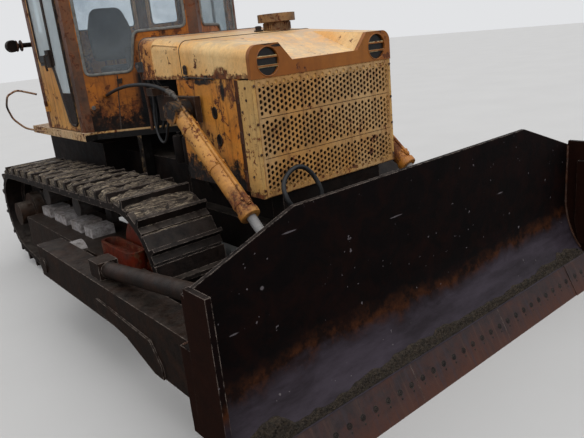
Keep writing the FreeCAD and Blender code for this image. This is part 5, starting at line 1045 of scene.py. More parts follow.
heights = np.linspace(0.24, 1.0, 40)
corner_bead = bead(board_face(1.578, heights, 0.004), (-1, 0, 0), 0.008)
box_bead = bead(from_grille(((-1570, -608, 702), (1570, -608, 702))), (0, 0, 1), 0.006)
piece("blade_welds", together(both_sides(corner_bead), box_bead), weld_rust, "blade")

# %% [markdown]
# ## Mud on the tracks
# The upper runs carry trampled earth and straw between the grousers. The sheet follows the shoes' face:
# an arc over the front wheel, the straight run, and an arc over the rear wheel. Its height above the
# face is a mean level plus bumps of four sizes, held below the grousers' tips.

# %% Caked earth
TOP_TURN = 1.5385
FRONT_WHEEL, REAR_WHEEL = np.array((0.85 - 1.5125, 0.54)), np.array((3.33 - 1.5125, 0.53))
SHOE_IN, SHOE_OUT, SHOE_STEP = 0.694, 1.186, 0.012


def upper_run():
    """Points (y, z) and outward normals of the shoes' face, from the front wheel's arc to the rear wheel's."""
    turns = np.r_[np.linspace(TOP_TURN + 0.95, TOP_TURN, 44), np.full(250, TOP_TURN), np.linspace(TOP_TURN, TOP_TURN - 0.5, 20)]
    normals = np.stack((np.cos(turns), np.sin(turns)), -1)
    share = np.r_[np.zeros(44), np.linspace(0.004, 0.996, 250), np.ones(20)][:, None]
    centre = FRONT_WHEEL + share * (REAR_WHEEL - FRONT_WHEEL)
    radius = 0.48 + share * (0.41 - 0.48)
    return centre + radius * normals, normals


def caked_earth(seed):
    """The mud of one track, as a closed sheet whose underside lies in the shoes."""
    spine, normals = upper_run()
    x = np.arange(SHOE_IN, SHOE_OUT, SHOE_STEP)[None]
    y = spine[:, :1]
    rim = np.clip(np.minimum(x - SHOE_IN, SHOE_OUT - x) / 0.05, 0, 1) ** 0.5
    level = 0.052 + 0.007 * ripple(seed, 0.45, x, y) + 0.01 * ripple(seed + 1, 0.13, x, y)
    level = level + 0.0055 * ripple(seed + 2, 0.045, 0.5 * x, y) + 0.003 * ripple(seed + 3, 0.02, 0.5 * x, y)
    fading = np.clip((np.arange(len(spine)) / 60)[:, None], 0.12, 1)
    tall = np.clip(level * fading - 0.012 * (1 - fading) - 0.016 * (1 - rim), -0.002, 0.057)
    layers = []
    for height in (tall, np.full_like(tall, -0.007)):
        along = spine[:, None] + height[..., None] * normals[:, None]
        layers.append(np.concatenate((np.broadcast_to(x[..., None], (*tall.shape, 1)), along), -1))
    sheet = np.concatenate((layers[0], layers[1][:, ::-1]), 1)
    count = sheet.shape[1]
    caps = [list(range(count))[::-1], [(len(spine) - 1) * count + i for i in range(count)]]
    return sheet.reshape(-1, 3), grid_faces(len(spine), count, closed_columns=True) + caps


piece("track_mud_L", caked_earth(51), track_mud, "tractor", sharp=70)
piece("track_mud_R", mirrored(caked_earth(71)), track_mud, "tractor", sharp=70)

# %% [markdown]
# ## Engine bay and hood
# The side panel is a plain sheet with two plugged holes, a rusty strip where it meets the cowl, and a
# latch rod under the hood's edge. The hood has a seam with a clip where its rear part begins.

# %% Side panel
PANEL_SIDE = -588.0
plug = turned(((0, 0.002), (0.012, 0.0045), (0.02, 0.003), (0.023, 0.006), (0.028, 0.006), (0.031, -0.001)), 20)
plugs = aimed(plug, from_grille(((PANEL_SIDE, 436, 1534), (PANEL_SIDE, 420, 1360))), (-1, 0, 0))
stretch = plugs[0].copy()
stretch[:, 2] = np.where(stretch[:, 2] > 1.45, 1.534 + 1.35 * (stretch[:, 2] - 1.534), 1.36 + 1.35 * (stretch[:, 2] - 1.36))
piece("side_panel_plugs", both_sides((stretch, plugs[1])), pit_dirt, "tractor")

strip_z = np.linspace(1.062, 1.735, 60)
wave = 0.006 * ripple(5, 0.2, strip_z)
strip_path = np.stack((np.full(60, -0.5885), -1.3515 + wave, strip_z), -1)
strip = carried(strip_path, ((-0.017, -0.002), (-0.017, 0.004), (-0.009, 0.009), (0.009, 0.009), (0.017, 0.004),
                             (0.017, -0.002)), (-1, 0, 0))
hinge_knuckle = turned(((0, 0), (0.011, 0), (0.011, 0.07), (0, 0.07)), 12)
knuckles = aimed(hinge_knuckle, [(-0.594, -1.3515, z) for z in (1.12, 1.36, 1.6)], (0, 0, 1))
piece("panel_hinge_strip", both_sides(together(strip, knuckles)), weld_rust, "tractor")

small_bolt = hex_bolt(0.0065)
cowl_bolts = aimed(small_bolt, [(-0.594, y, z) for y, z in
                                ((-1.44, 1.69), (-1.44, 1.62), (-1.39, 1.55), (-1.43, 1.42), (-1.43, 1.16))], (-1, 0, 0))
front_bolts = aimed(small_bolt, [(-0.58, -1.5125, z) for z in (1.08, 1.3, 1.48, 1.7)], (0, -1, 0))
piece("cowl_bolts", both_sides(together(cowl_bolts, front_bolts)), weld_rust, "tractor")

latch_path = from_grille(((-602, 742, 1762), (-604, 700, 1757), (-604, 420, 1748), (-603, 395, 1747), (-598, 388, 1738)))
latch = carried(latch_path, ring(0.006, 8), (0, 0, 1))
latch_feet = together(*[block(*from_grille(((-607, y - 9, 1740), (-592, y + 9, 1768)))) for y in (470, 700)])
hood_clip = together(
    slab(((0, 0), (0.045, 0), (0.045, 0.05), (0.02, 0.062), (0, 0.05)), 0.005, from_grille((-598, 690, 1776)), (0, 1, 0), (0, 0, 1)),
    aimed(hex_bolt(0.008), from_grille(((-600, 712, 1800),)), (-1, 0, 0)),
)
piece("hood_latch", both_sides(together(latch, latch_feet, hood_clip)), rusty_black, "tractor", 0.0015)

# %% [markdown]
# The hood is made of two lengths of sheet. A thin dark gap shows where they meet, and the rear length
# has its own rolled edge. Both follow the hood's outline: up the side, round the shoulder, over the top.

# %% Seams of the hood
def hood_outline(y_mm, out=0.0, count=40):
    """The hood's outline at a distance behind the grille: side, shoulder of radius 70 mm, and top. Its height
    grows from 1925 mm in front to 2035 mm at the rear."""
    top = 1.925 + (2.035 - 1.925) * np.clip(y_mm / 1350, 0, 1)
    half, low, round_r = 0.593 + out, 1.752, 0.07
    angle = np.linspace(np.pi, np.pi / 2, count // 2)
    shoulder = np.stack((-half + round_r + round_r * np.cos(angle), top + out - round_r + round_r * np.sin(angle)), -1)
    side = np.stack((np.full(8, -half), np.linspace(low, top - round_r, 8)), -1)[:-1]
    left = np.concatenate((side, shoulder))
    whole = np.concatenate((left, (left * (-1, 1))[::-1]))
    y = np.full(len(whole), (y_mm - 1512.5) / 1000)
    return np.stack((whole[:, 0], y, whole[:, 1]), -1)


seam = carried(hood_outline(768, 0.0), ((-0.003, -0.003), (0.003, -0.003), (0.003, 0.0006), (-0.003, 0.0006)), (0, 1, 0))
piece("hood_seam", seam, rusty_black, "tractor")
rolled = carried(hood_outline(1338, -0.001), ring(0.006, 8), (0, 1, 0))
piece("hood_rear_edge", rolled, rusty_black, "tractor")

line_turn = np.linspace(0, np.pi / 2, 8)[:, None]
line_low = from_grille([(-593, 1150, z) for z in np.linspace(1785, 1920, 8)])
line_bend = from_grille((-591, 1110, 1936)) + np.c_[0 * line_turn, 0.04 * np.cos(line_turn), 0.045 * np.sin(line_turn)]
line_along = from_grille([(-586, y, 1890 + 0.0815 * y) for y in np.linspace(1080, 790, 8)])
raised_line = carried(np.concatenate((line_low, line_bend, line_along)), ring(0.0045, 8), (-1, 0, 0))
piece("hood_raised_line", both_sides(raised_line), hood_paint, "tractor")

# %% Headlamps
lamp_x, lamp_z = 0.46, 1.826
rim = turned(((0.0795, -0.006), (0.0795, 0.001), (0.083, 0.003), (0.0865, 0.001), (0.0865, -0.001)), 40)
rims = aimed(rim, ((-lamp_x, -1.5125, lamp_z), (lamp_x, -1.5125, lamp_z)), (0, -1, 0))
piece("lamp_rims", rims, nose_paint, "tractor")
slat_outline = rounded_ring(((-0.079, -0.007), (0.079, -0.007), (0.079, 0.007), (-0.079, 0.007)), 0.004, 4)
slats = together(*[slab(slat_outline, 0.006, (side * lamp_x, -1.5085, lamp_z + lift), (1, 0, 0), (0, 0, 1))
                   for side in (-1, 1) for lift in (-0.026, 0.026)])
piece("lamp_slats", slats, pale_slat, "tractor", 0.001)

# %% Air cleaner's louvred body
cleaner_x, cleaner_y = 0.37, -0.5925
turn = np.linspace(0, 2 * np.pi, 36, endpoint=False)
fins = []
for angle in turn:
    away = np.array((math.cos(angle), math.sin(angle), 0))
    fins.append(slab(((-0.004, -0.026), (0.004, -0.026), (0.004, 0.026), (-0.004, 0.026)), 0.008,
                     np.array((cleaner_x, cleaner_y, 2.026)) + 0.106 * away, np.cross((0, 0, 1), away), (0, 0, 1)))
piece("precleaner_fins", together(*fins), cleaner_paint, "tractor")
knob = turned(((0, 0.028), (0.02, 0.026), (0.024, 0.018), (0.022, 0.0), (0.034, -0.004), (0.034, -0.012)), 20)
knob_at = from_grille(((190, 920, 2012),))
piece("hood_knob", aimed(knob, knob_at, (0, 0, 1)), rusty_black, "tractor")

# %% [markdown]
# ## Lift cylinders
# Each cylinder swings about its upper pivot, so its bands, glands and pipe fittings ride on the barrel.
# The barrel's axis runs from the pivot down to the rod's eye, and rings are turned about that line.

# %% Cylinder fittings
PIVOT, EYE = from_grille((-720, 660, 1555)), from_grille((-720, -450, 575))
BARREL_DOWN = unit(EYE - PIVOT)
BARREL_OVER = np.cross(BARREL_DOWN, (-1, 0, 0))
BARREL_OVER = BARREL_OVER if BARREL_OVER[2] > 0 else -BARREL_OVER


def along_barrel(distance, over=0.0, aside=0.0):
    """A point at a distance down the right barrel from its pivot, lifted over it or moved outwards."""
    return PIVOT + distance * BARREL_DOWN + over * BARREL_OVER - aside * np.array((1.0, 0, 0))


gland = turned(((0.034, 0.012), (0.05, 0.012), (0.062, 0.008), (0.066, 0.0), (0.066, -0.034), (0.06, -0.04)), 36)
band = turned(((0.057, -0.013), (0.0625, -0.013), (0.0625, 0.013), (0.057, 0.013)), 36)
saddle = turned(((0, 0.0), (0.009, 0.0), (0.009, 0.007), (0.006, 0.009), (0, 0.009)), 14)
fittings = [aimed(gland, along_barrel(0.892), BARREL_DOWN)]
fittings += [aimed(band, along_barrel(d), BARREL_DOWN) for d in (0.17, 0.50, 0.80)]
fittings += [aimed(saddle, along_barrel(d, 0.058, a), BARREL_OVER) for d in (0.17, 0.50, 0.80) for a in (-0.024, 0.024)]
fittings += [aimed(turned(((0.0115, -0.012), (0.0165, -0.012), (0.0165, 0.012), (0.0115, 0.012)), 6),
                   along_barrel(d, 0.064), BARREL_DOWN) for d in (0.0, 0.83)]
barrel_fittings = together(*fittings)
for letter, flip in (("R", False), ("L", True)):
    shape = mirrored(barrel_fittings) if flip else barrel_fittings
    piece("barrel_fittings_" + letter, shape, cylinder_paint, "barrel_" + letter, 0.001)

# %% [markdown]
# The lift hose ends just above the pivot, and the pipe on the barrel starts just below it. A short crimped
# fitting joins them, across the swing joint between the tractor and the barrel.

# %% Crimped fittings between hose and pipe
fitting_path = np.linspace(from_grille((-720, 768, 1686)), along_barrel(-0.052, 0.064), 60)
fitting_path[:, 2] += 0.006 * np.sin(np.linspace(0, np.pi, 60))
steps = np.linspace(0, 1, 60)
crimp = np.where(steps < 0.42, 0.0165 + 0.0028 * np.sign(np.sin(steps * 90)), np.where(steps < 0.62, 0.02, 0.0135))
points, faces = carried(fitting_path, ring(1.0, 14), (1, 0, 0))
centre = np.repeat(fitting_path, 14, 0)
fitting = (centre + (points - centre) * np.repeat(crimp, 14)[:, None], faces)
for letter, flip in (("R", False), ("L", True)):
    made = piece("crimped_fitting_" + letter, mirrored(fitting) if flip else fitting, fitting_metal, None,
                 sharp=50)
    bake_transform(made)

# %% [markdown]
# ## The cab
# Each pane sits in a rubber seal that follows its rounded outline, grey and hardened by the weather. The
# front walls slope back from a middle pillar to the sides, so the outlines are laid out on a sloping
# plane: a run along the wall and a height.

# %% Window seals
CAB_NOSE, CAB_SIDE = np.array((0, -0.0625)), np.array((-0.825, 0.5875))
WALL_RUN = float(np.linalg.norm(CAB_SIDE - CAB_NOSE))
WALL_ALONG = np.array((*(CAB_SIDE - CAB_NOSE) / WALL_RUN, 0))
WALL_OUT = np.array((-WALL_ALONG[1], WALL_ALONG[0], 0))
WALL_OUT = WALL_OUT if WALL_OUT[1] < 0 else -WALL_OUT


def on_front_wall(outline, out=0.0):
    """Points of the right front wall from (run from the middle pillar, height)."""
    outline = np.asarray(outline, float)
    return np.array((*CAB_NOSE, 0)) + outline[:, :1] * WALL_ALONG + outline[:, 1:] * (0, 0, 1) + out * WALL_OUT


SEAL = ((-0.012, -0.004), (-0.011, 0.005), (-0.004, 0.01), (0.005, 0.01), (0.011, 0.005), (0.012, -0.004))
screen = rounded_ring(((0.1, 2.1), (0.5167, 2.1), (0.5767, 1.8), (0.9503, 1.8), (0.9503, 2.86), (0.1, 2.86)), 0.05)
screen_seal = carried(on_front_wall(screen, 0.001), SEAL, WALL_OUT, closed=True)
piece("windscreen_seals", both_sides(screen_seal), old_seal, "tractor")

rear_panes = []
for start, end in (((-0.825, 1.4675), (-0.52, 1.8875)), ((-0.52, 1.8875), (0.52, 1.8875))):
    start, end = np.array((*start, 0)), np.array((*end, 0))
    run = float(np.linalg.norm(end - start))
    along = (end - start) / run
    outward = np.array((-along[1], along[0], 0))
    outward = outward if np.dot(outward, start + end - (0, 1.4, 0)) > 0 else -outward
    frame_ring = rounded_ring(((0.1, 2.19), (run - 0.1, 2.19), (run - 0.1, 2.86), (0.1, 2.86)), 0.05)
    path = start + frame_ring[:, :1] * along + frame_ring[:, 1:] * (0, 0, 1) + 0.001 * outward
    rear_panes.append(carried(path, SEAL, outward, closed=True))
piece("rear_window_seals", together(both_sides(rear_panes[0]), rear_panes[1]), old_seal, "tractor")

# %% [markdown]
# ### Doors
# The door's window reaches low in front, over a dark kick plate, and steps up along a diagonal to the
# latch. All of it rides on the door, and turns with it on the hinges of the rear side pillar.

# %% Doors
DOOR_X = -0.825
DOOR_WINDOW = ((0.7015, 1.4), (0.8475, 1.4), (1.0075, 1.93), (1.3195, 1.93), (1.3195, 2.86), (0.7015, 2.86))
door_ring = rounded_ring(DOOR_WINDOW, 0.05)
door_path = np.c_[np.full(len(door_ring), DOOR_X - 0.001), door_ring]
door_seal = carried(door_path, SEAL, (-1, 0, 0), closed=True)
kick = slab(((-0.703, 1.402), (-0.703, 1.67), (-0.93, 1.67), (-0.849, 1.402)), 0.003, (DOOR_X - 0.004, 0, 0),
            (0, -1, 0), (0, 0, 1))
divider = carried([(DOOR_X - 0.003, 0.972, 1.9), (DOOR_X - 0.003, 0.96, 2.86)], ((-0.018, -0.003), (-0.018, 0.008), (0.018, 0.008), (0.018, -0.003)), (-1, 0, 0))
diagonal = carried([(DOOR_X - 0.004, 0.86, 1.42), (DOOR_X - 0.004, 1.018, 1.94)], ((-0.022, -0.003), (-0.022, 0.004), (0.022, 0.004), (0.022, -0.003)), (-1, 0, 0))
plate = slab(((-1.02, 1.905), (-1.02, 1.99), (-1.3, 1.99), (-1.3, 1.905)), 0.006, (DOOR_X - 0.007, 0, 0), (0, -1, 0), (0, 0, 1))
latch_box = block((DOOR_X - 0.03, 0.985, 1.885), (DOOR_X - 0.002, 1.075, 2.03))
handle = carried([(DOOR_X - 0.03, 1.03, 1.99), (DOOR_X - 0.052, 1.03, 1.985), (DOOR_X - 0.055, 1.03, 1.9),
                  (DOOR_X - 0.05, 1.03, 1.86)], ring(0.009, 10), (0, 1, 0))
for letter, flip in (("R", False), ("L", True)):
    turn_over = mirrored if flip else (lambda shape: shape)
    piece("door_seal_" + letter, turn_over(door_seal), rusty_black, "door_" + letter)
    piece("door_plates_" + letter, turn_over(together(diagonal, plate)), grey_plate, "door_" + letter, 0.001)
    piece("door_kick_" + letter, turn_over(together(kick, divider)), rusty_black, "door_" + letter, 0.001)
    piece("door_latch_" + letter, turn_over(together(latch_box, handle)), rusty_black, "door_" + letter,
          0.002)

# %% [markdown]
# ### Seat
# The seat is a foam cushion and a high back in dull dark vinyl. A padded piece is blown up like a
# balloon: a slightly smaller block is remeshed, cloth with inside pressure swells it, each point's move
# is capped, and the result is kept as a plain mesh.

# %% Seat
def padded(name, shape, swell, material):
    """A cushion from a closed shape, remeshed in small voxels and swollen by cloth pressure."""
    points, faces = shape
    middle = (points.max(0) + points.min(0)) / 2
    points = middle + (points - middle) * (1 - 1.2 * swell / np.abs(points - middle).max(0))
    made = piece(name, (points, faces), material, None, sharp=180)
    for kind, values in (("BEVEL", {"width": 0.02, "segments": 3}), ("REMESH", {"mode": "VOXEL", "voxel_size": 0.012})):
        modifier = made.modifiers.new(kind, kind)
        for key, value in values.items():
            setattr(modifier, key, value)
    made.data = bpy.data.meshes.new_from_object(made.evaluated_get(bpy.context.evaluated_depsgraph_get()))
    made.modifiers.clear()
    rest = np.zeros(len(made.data.vertices) * 3)
    made.data.vertices.foreach_get("co", rest)
    rest = rest.reshape(-1, 3)
    cloth = made.modifiers.new("cloth", "CLOTH")
    cloth.settings.use_pressure = True
    cloth.settings.uniform_pressure_force = 4
    cloth.settings.effector_weights.gravity = 0
    for step in range(1, 21):
        bpy.context.scene.frame_set(step)
    blown = made.evaluated_get(bpy.context.evaluated_depsgraph_get()).to_mesh()
    moved = np.zeros(len(rest) * 3)
    blown.vertices.foreach_get("co", moved)
    shift = moved.reshape(-1, 3) - rest
    far = np.linalg.norm(shift, axis=1, keepdims=True)
    rest = rest + shift * np.minimum(1, swell / np.maximum(far, 1e-9))
    made.modifiers.clear()
    bpy.context.scene.frame_set(1)
    made.data.vertices.foreach_set("co", rest.ravel())
    made.data.polygons.foreach_set("use_smooth", np.ones(len(made.data.polygons), bool))
    smooth = made.modifiers.new("smooth", "SUBSURF")
    smooth.levels = smooth.render_levels = 1
    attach(made, "tractor")
    return made


cushion_outline = rounded_ring(((-0.24, 1.135), (0.24, 1.135), (0.23, 1.59), (-0.23, 1.59)), 0.07)
padded("seat_cushion", slab(cushion_outline, 0.1, (0, 0, 1.84)), 0.014, seat_cover)
back_outline = rounded_ring(((-0.25, 1.86), (0.25, 1.86), (0.256, 2.2), (0.17, 2.42), (-0.17, 2.42), (-0.256, 2.2)), 0.08)
BACK_LEAN = (0, 0.14, 1)
back_shape = slab(back_outline - (0, 1.86), 0.085, (0, 1.53, 1.86), (1, 0, 0), BACK_LEAN)
padded("seat_back_rest", back_shape, 0.014, seat_cover)
seat_base = together(block((-0.19, 1.18, 1.345), (0.19, 1.56, 1.56)), block((-0.22, 1.14, 1.69), (0.22, 1.6, 1.74)),
                     block((-0.13, 1.24, 1.56), (0.13, 1.52, 1.69)))
base = piece("seat_base", seat_base, rusty_black, "tractor", 0.006)
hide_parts("seat")

# %% Levers and dials in the cab
lever_pairs = []
for x, y, tall in ((-0.3, 0.62, 2.02), (-0.22, 0.62, 2.06), (0.22, 0.62, 2.06), (0.3, 0.62, 2.0), (0.36, 1.0, 1.9)):
    t = np.linspace(0, 1, 20)
    stalk = np.stack((x + 0.02 * np.sin(3 * t), y - 0.12 * t ** 2, 1.345 + (tall - 1.345) * t), -1)
    lever_pairs.append(carried(stalk, ring(0.009, 8), (1, 0, 0)))
    grip = turned(((0, 0), (0.014, 0.004), (0.02, 0.02), (0.022, 0.04), (0.016, 0.058), (0, 0.064)), 16)
    lever_pairs.append(aimed(grip, stalk[-1:], (0, -0.2, 1)))
dial = turned(((0, 0.004), (0.034, 0.004), (0.036, 0.01), (0.042, 0.01), (0.044, 0.0), (0.044, -0.002)), 28)
dials = aimed(dial, [(x, 0.527, 1.93) for x in (-0.24, -0.12, 0, 0.12, 0.24)], (0, 1, 0))
piece("cab_levers", together(*lever_pairs, dials), rusty_black, "tractor")

# %% Grab rail
rail_points = np.array(((-0.857, 1.654), (-1.034, 1.719), (-1.125, 1.679), (-1.151, 1.585), (-1.12, 1.47), (-1.029, 1.369), (-0.86, 1.31)))
t = np.linspace(0, len(rail_points) - 1, 80)
spread = np.stack([np.interp(t, np.arange(len(rail_points)), rail_points[:, i]) for i in range(2)], -1)
kernel = np.hanning(13) / np.hanning(13).sum()
eased = np.stack([np.convolve(np.pad(spread[:, i], 6, "edge"), kernel, "valid") for i in range(2)], -1)
rail = carried(np.stack((eased[:, 0], np.full(80, 3.0 - 1.5125), eased[:, 1]), -1), ring(0.009, 10), (0, 1, 0))
piece("grab_rail", rail, rail_paint, "tractor")

# %% [markdown]
# ## Engine
# Between the cab and the side panels the engine shows: rocker covers, the exhaust manifold, filters, and
# pipes, all black with oil and dust. In CAD it is one plain block, and these pieces stand on it.

# %% Engine details
def engine_side(side):
    """Manifold, filters, pipes and bolts on one side of the engine block, side -1 for the right."""
    x = 0.34 * side
    parts = []
    for y in np.linspace(-1.12, -0.32, 4):
        parts.append(block((min(x, x + 0.07 * side), y - 0.06, 1.42), (max(x, x + 0.07 * side), y + 0.06, 1.52)))
    run = np.linspace(-1.18, -0.26, 40)
    pipe = np.stack((np.full(40, x + 0.095 * side), run, 1.47 + 0.008 * np.sin(run * 27)), -1)
    parts.append(carried(pipe, ring(0.042, 16), (1, 0, 0)))
    can = turned(((0, 0), (0.052, 0.006), (0.056, 0.02), (0.056, 0.2), (0.05, 0.215), (0.02, 0.22), (0.02, 0.24), (0, 0.24)), 24)
    parts.append(aimed(can, [(x + 0.09 * side, y, 1.1) for y in (-0.42, -0.28)], (0, 0, 1)))
    for y, high in ((-0.9, 1.36), (-0.7, 1.33), (-0.52, 1.38)):
        t = np.linspace(0, 1, 30)
        bent = np.stack((x + side * (0.01 + 0.06 * np.sin(np.pi * t)), y + 0.16 * t, 0.9 + (high - 0.9) * t), -1)
        parts.append(carried(bent, ring(0.011, 8), (1, 0, 0)))
    rows = [(x, y, z) for y in np.linspace(-1.2, -0.22, 9) for z in (0.66, 1.3)]
    parts.append(aimed(hex_bolt(0.014), rows, (side, 0, 0)))
    return together(*parts)


rockers = []
for y in np.linspace(-1.13, -0.3, 4):
    rockers.append(block((-0.2, y - 0.085, 1.6), (0.2, y + 0.085, 1.68)))
    rockers.append(aimed(hex_bolt(0.013), [(-0.1, y, 1.68), (0.1, y, 1.68)], (0, 0, 1)))
piece("engine_dressing", together(engine_side(-1), engine_side(1), *rockers), dark_iron, "tractor", 0.004)

# %% [markdown]
# ## Pipes and wires before the cab
# In the dark gap between the engine's side panel and the cab a rusty pipe, a thick hose and some thin
# wires come down from the hood to the floor. They are fixed lines, each carried along its own path, and a
# small folded bracket holds them at the windscreen's corner.

# %% Pipes and wires
def down_line(places, radius, sides=10):
    """A round line through a few places (x, y, z), eased with one cubic in the run for each coordinate."""
    places = np.asarray(places, float)
    run = np.linspace(0, 1, len(places))
    fine = np.linspace(0, 1, 12 * len(places))
    path = np.stack([np.polyval(np.polyfit(run, places[:, i], 3), fine) for i in range(3)], -1)
    return carried(path, ring(radius, sides), (0, -1, 0.02))


rusty_pipe = down_line([(-0.545, -0.05, 1.80), (-0.535, -0.055, 1.66), (-0.53, -0.06, 1.5), (-0.535, -0.06, 1.36)], 0.013)
thick_hose = down_line([(-0.505, -0.08, 1.74), (-0.495, -0.09, 1.62), (-0.49, -0.09, 1.5), (-0.5, -0.07, 1.36)], 0.016)
second_hose = down_line([(-0.43, -0.06, 1.76), (-0.425, -0.09, 1.6), (-0.44, -0.1, 1.45), (-0.46, -0.08, 1.36)], 0.012)
thin_wires = together(
    down_line([(-0.49, -0.1, 1.745), (-0.46, -0.12, 1.63), (-0.41, -0.13, 1.53), (-0.35, -0.12, 1.46)], 0.0045, 6),
    down_line([(-0.48, -0.1, 1.75), (-0.42, -0.13, 1.66), (-0.38, -0.13, 1.6), (-0.31, -0.12, 1.58)], 0.0035, 6),
)
piece("gap_pipe", both_sides(rusty_pipe), weld_rust, "tractor")
piece("gap_hoses", both_sides(together(thick_hose, second_hose)), hose_rubber, "tractor")
piece("gap_wires", both_sides(thin_wires), fitting_metal, "tractor")
BRACKET_X = -0.596
bracket = slab(((0.2, 1.8), (0.2, 1.875), (0.085, 1.87), (0.07, 1.84), (0.1, 1.8)), 0.005, (BRACKET_X, 0, 0), (0, -1, 0), (0, 0, 1))
bracket_bolt = aimed(hex_bolt(0.013), [(BRACKET_X - 0.002, -0.115, 1.838)], (-1, 0, 0))
piece("corner_bracket", both_sides(bracket), grey_plate, "tractor", 0.001)
wall_bolt = aimed(hex_bolt(0.013), on_front_wall(((0.938, 1.542),), 0.002), WALL_OUT)
piece("bright_bolts", both_sides(together(bracket_bolt, wall_bolt)), fitting_metal, "tractor")

wall_seam = carried(on_front_wall(((0.748, 1.352), (0.722, 1.6), (0.7, 1.78)), 0.001), ((-0.004, -0.003), (-0.004, 0.002), (0.004, 0.002), (0.004, -0.003)), WALL_OUT)
wall_clip = slab(((0.67, 1.715), (0.705, 1.715), (0.71, 1.75), (0.665, 1.755)), 0.01, np.array((*CAB_NOSE, 0)) + 0.008 * WALL_OUT, WALL_ALONG, (0, 0, 1))
piece("wall_seam", both_sides(together(wall_seam, wall_clip)), rusty_black, "tractor")

# %% [markdown]
# ## The rear
# The photograph doesn't show the rear, so these are the fittings that such a machine has: straps and a
# filler cap on the fuel tank, a bolted cover on the rear housing, lenses in the lamps, and a pin with a
# ring handle in the drawbar.

# %% Fuel tank
TANK_HALF, TANK_FRONT, TANK_REAR, TANK_TOP, TANK_FOOT = 0.56, 1.908, 2.3275, 1.745, 1.18
strap_path = ((TANK_FRONT + 0.02, TANK_TOP), (TANK_REAR - 0.012, TANK_TOP), (TANK_REAR, TANK_TOP - 0.012), (TANK_REAR, TANK_FOOT + 0.02))
straps = []
for x in (-0.33, 0.33):
    line = np.array([(x, y, z) for y, z in strap_path])
    straps.append(carried(line, ((-0.025, -0.003), (0.025, -0.003), (0.025, 0.005), (-0.025, 0.005)), (0, 1, 1)))
    straps.append(aimed(hex_bolt(0.011), [(x, TANK_REAR + 0.005, TANK_FOOT + 0.05)], (0, 1, 0)))
piece("tank_straps", together(*straps), rusty_black, "tractor", 0.001)
filler = turned(((0, 0.052), (0.045, 0.052), (0.052, 0.046), (0.052, 0.024), (0.04, 0.022), (0.04, 0.0), (0.056, -0.002)), 32)
gauge = turned(((0, 0.014), (0.022, 0.014), (0.026, 0.01), (0.026, -0.002)), 24)
drain = turned(((0, 0.02), (0.016, 0.02), (0.016, 0.006), (0.028, 0.005), (0.028, -0.002)), 6)
tank_fittings = together(aimed(filler, [(-0.1, 2.1, TANK_TOP)], (0, 0, 1)), aimed(gauge, [(0.12, 2.1, TANK_TOP)], (0, 0, 1)),
                         aimed(drain, [(0.0, TANK_REAR, TANK_FOOT + 0.06)], (0, 1, 0)))
piece("tank_fittings", tank_fittings, fitting_metal, "tractor", 0.001)

# %% Rear housing, lamps and drawbar
HOUSING_REAR, HOUSING_MID = 2.3475, 0.9
cover = turned(((0, 0.016), (0.15, 0.016), (0.156, 0.02), (0.2, 0.02), (0.206, 0.014), (0.206, -0.002)), 48)
cover_turn = np.linspace(0, 2 * np.pi, 10, endpoint=False)
cover_bolts = np.stack((0.178 * np.cos(cover_turn), np.full(10, HOUSING_REAR + 0.02), HOUSING_MID + 0.178 * np.sin(cover_turn)), -1)
port = turned(((0, 0.03), (0.014, 0.03), (0.014, 0.012), (0.024, 0.012), (0.024, -0.002)), 6)
rim_bolts = [(x, HOUSING_REAR, z) for z in (0.68, 1.14) for x in np.linspace(-0.5, 0.5, 6)]
housing = together(
    aimed(cover, [(0, HOUSING_REAR, HOUSING_MID)], (0, 1, 0)), aimed(hex_bolt(0.013), cover_bolts, (0, 1, 0)),
    aimed(port, [(x, HOUSING_REAR, 0.9) for x in (-0.38, -0.3, 0.3, 0.38)], (0, 1, 0)),
    aimed(hex_bolt(0.014), rim_bolts, (0, 1, 0)),
)
piece("housing_cover", housing, dark_iron, "tractor", 0.0015)

lens = turned(((0, 0.012), (0.02, 0.011), (0.036, 0.007), (0.046, 0.0), (0.047, -0.003)), 32)
lamp_ring = turned(((0.046, -0.002), (0.047, 0.006), (0.052, 0.007), (0.056, 0.002), (0.056, -0.02)), 32)
lamp_places = [(-0.865, 1.957, 2.105), (0.865, 1.957, 2.105)]
flange = turned(((0, -0.006), (0.05, -0.006), (0.053, 0.0), (0.05, 0.006), (0, 0.006)), 28)
flange_places = [(side * x, 1.922, 2.103) for side in (-1, 1) for x in (0.782, 0.823)]
piece("lamp_bar_flanges", aimed(flange, flange_places, (1, 0, 0)), weld_rust, "tractor", 0.001)
piece("rear_lenses", aimed(lens, lamp_places, (0, 1, 0)), lamp_glass, "tractor")
piece("rear_lens_rings", aimed(lamp_ring, lamp_places, (0, 1, 0)), fitting_metal, "tractor")

pin = turned(((0, -0.055), (0.016, -0.055), (0.024, -0.045), (0.024, 0.064), (0.036, 0.066), (0.036, 0.08), (0, 0.08)), 28)
ring_turn = np.linspace(0, 2 * np.pi, 32, endpoint=False)
ring_path = np.stack((0.035 * np.cos(ring_turn), np.full(32, 2.4675), 0.578 + 0.035 * np.sin(ring_turn)), -1)
pin_ring = carried(ring_path, ring(0.006, 8), (0, 1, 0), closed=True)
piece("drawbar_pin", together(aimed(pin, [(0, 2.4675, 0.47)], (0, 0, 1)), pin_ring), rusty_black, "tractor")

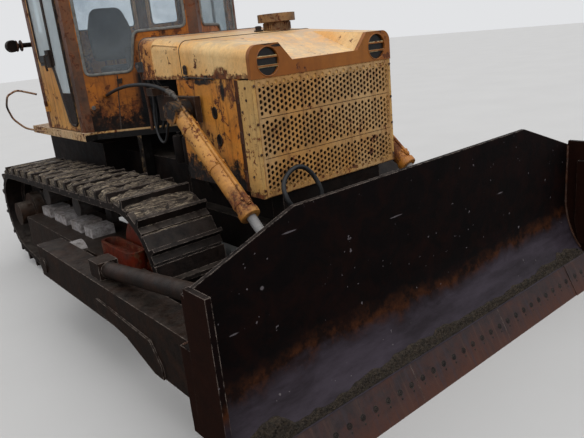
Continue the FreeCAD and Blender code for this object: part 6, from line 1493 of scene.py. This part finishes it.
# %% Belly plate
belly_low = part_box("main_frame")[0][2]
belly_rows = [(x, y, belly_low) for x in (-0.4, 0.4) for y in np.linspace(-1.3, 0.8, 12)]
piece("belly_bolts", aimed(hex_bolt(0.015), belly_rows, (0, 0, -1)), dark_iron, "tractor")

# %% [markdown]
# ## Floor and light
# The yard of the photograph stays away: the machine stands on a plain pale floor under an overcast sky.
# A sun with a very wide disc makes the soft light from above, and the world fills in, brighter overhead
# than at the horizon, as a clouded sky is. What the camera sees behind the floor is a plain pale colour,
# which lights nothing: wet black steel would turn grey if it mirrored it.

# %% Stage
def seen_directly(tree):
    """1 for what the camera sees, straight or through glass, 0 for light that falls on the machine."""
    ray = tree.nodes.new("ShaderNodeLightPath").outputs
    return calc(tree, "MAXIMUM", ray["Is Camera Ray"], ray["Is Transmission Ray"])


FLOOR_REACH = 60.0
corners = np.array(((-1, -1, 0), (1, -1, 0), (1, 1, 0), (-1, 1, 0))) * FLOOR_REACH
floor_mesh = bpy.data.meshes.new("floor")
floor_mesh.from_pydata(corners.tolist(), [], [(0, 1, 2, 3)])
floor = bpy.data.objects.new("floor", floor_mesh)
bpy.context.scene.collection.objects.link(floor)
floor_look, tree = blank("floor")
cloud = noise(tree, object_place(tree), 0.8, 4.0)
pale = mixed(tree, cloud, tone(196, 194, 191), tone(206, 204, 201))
floor_mesh.materials.append(
    shader(floor_look, mixed(tree, seen_directly(tree), tone(84, 78, 72), pale), 0.95)
)

world = bpy.data.worlds.new("sky")
bpy.context.scene.world = world
world.use_nodes = True
sky = world.node_tree
ZENITH, HORIZON, SKY_SEEN = tone(250, 252, 255), tone(172, 176, 184), tone(226, 227, 229)
lift = parts_of(sky, put(sky, "TexCoord", outlet="Generated"))[2]
sky_light = mixed(sky, between(sky, lift, 0.0, 0.85), HORIZON, ZENITH)
sky.links.new(mixed(sky, seen_directly(sky), sky_light, SKY_SEEN), sky.nodes["Background"].inputs["Color"])

sun = bpy.data.objects.new("overcast", bpy.data.lights.new("overcast", "SUN"))
bpy.context.scene.collection.objects.link(sun)
sun.data.energy = 1.0
sun.data.angle = math.radians(80)
sun.rotation_euler = (math.radians(40), math.radians(-15), 0)
bpy.context.scene.view_settings.view_transform = "Standard"
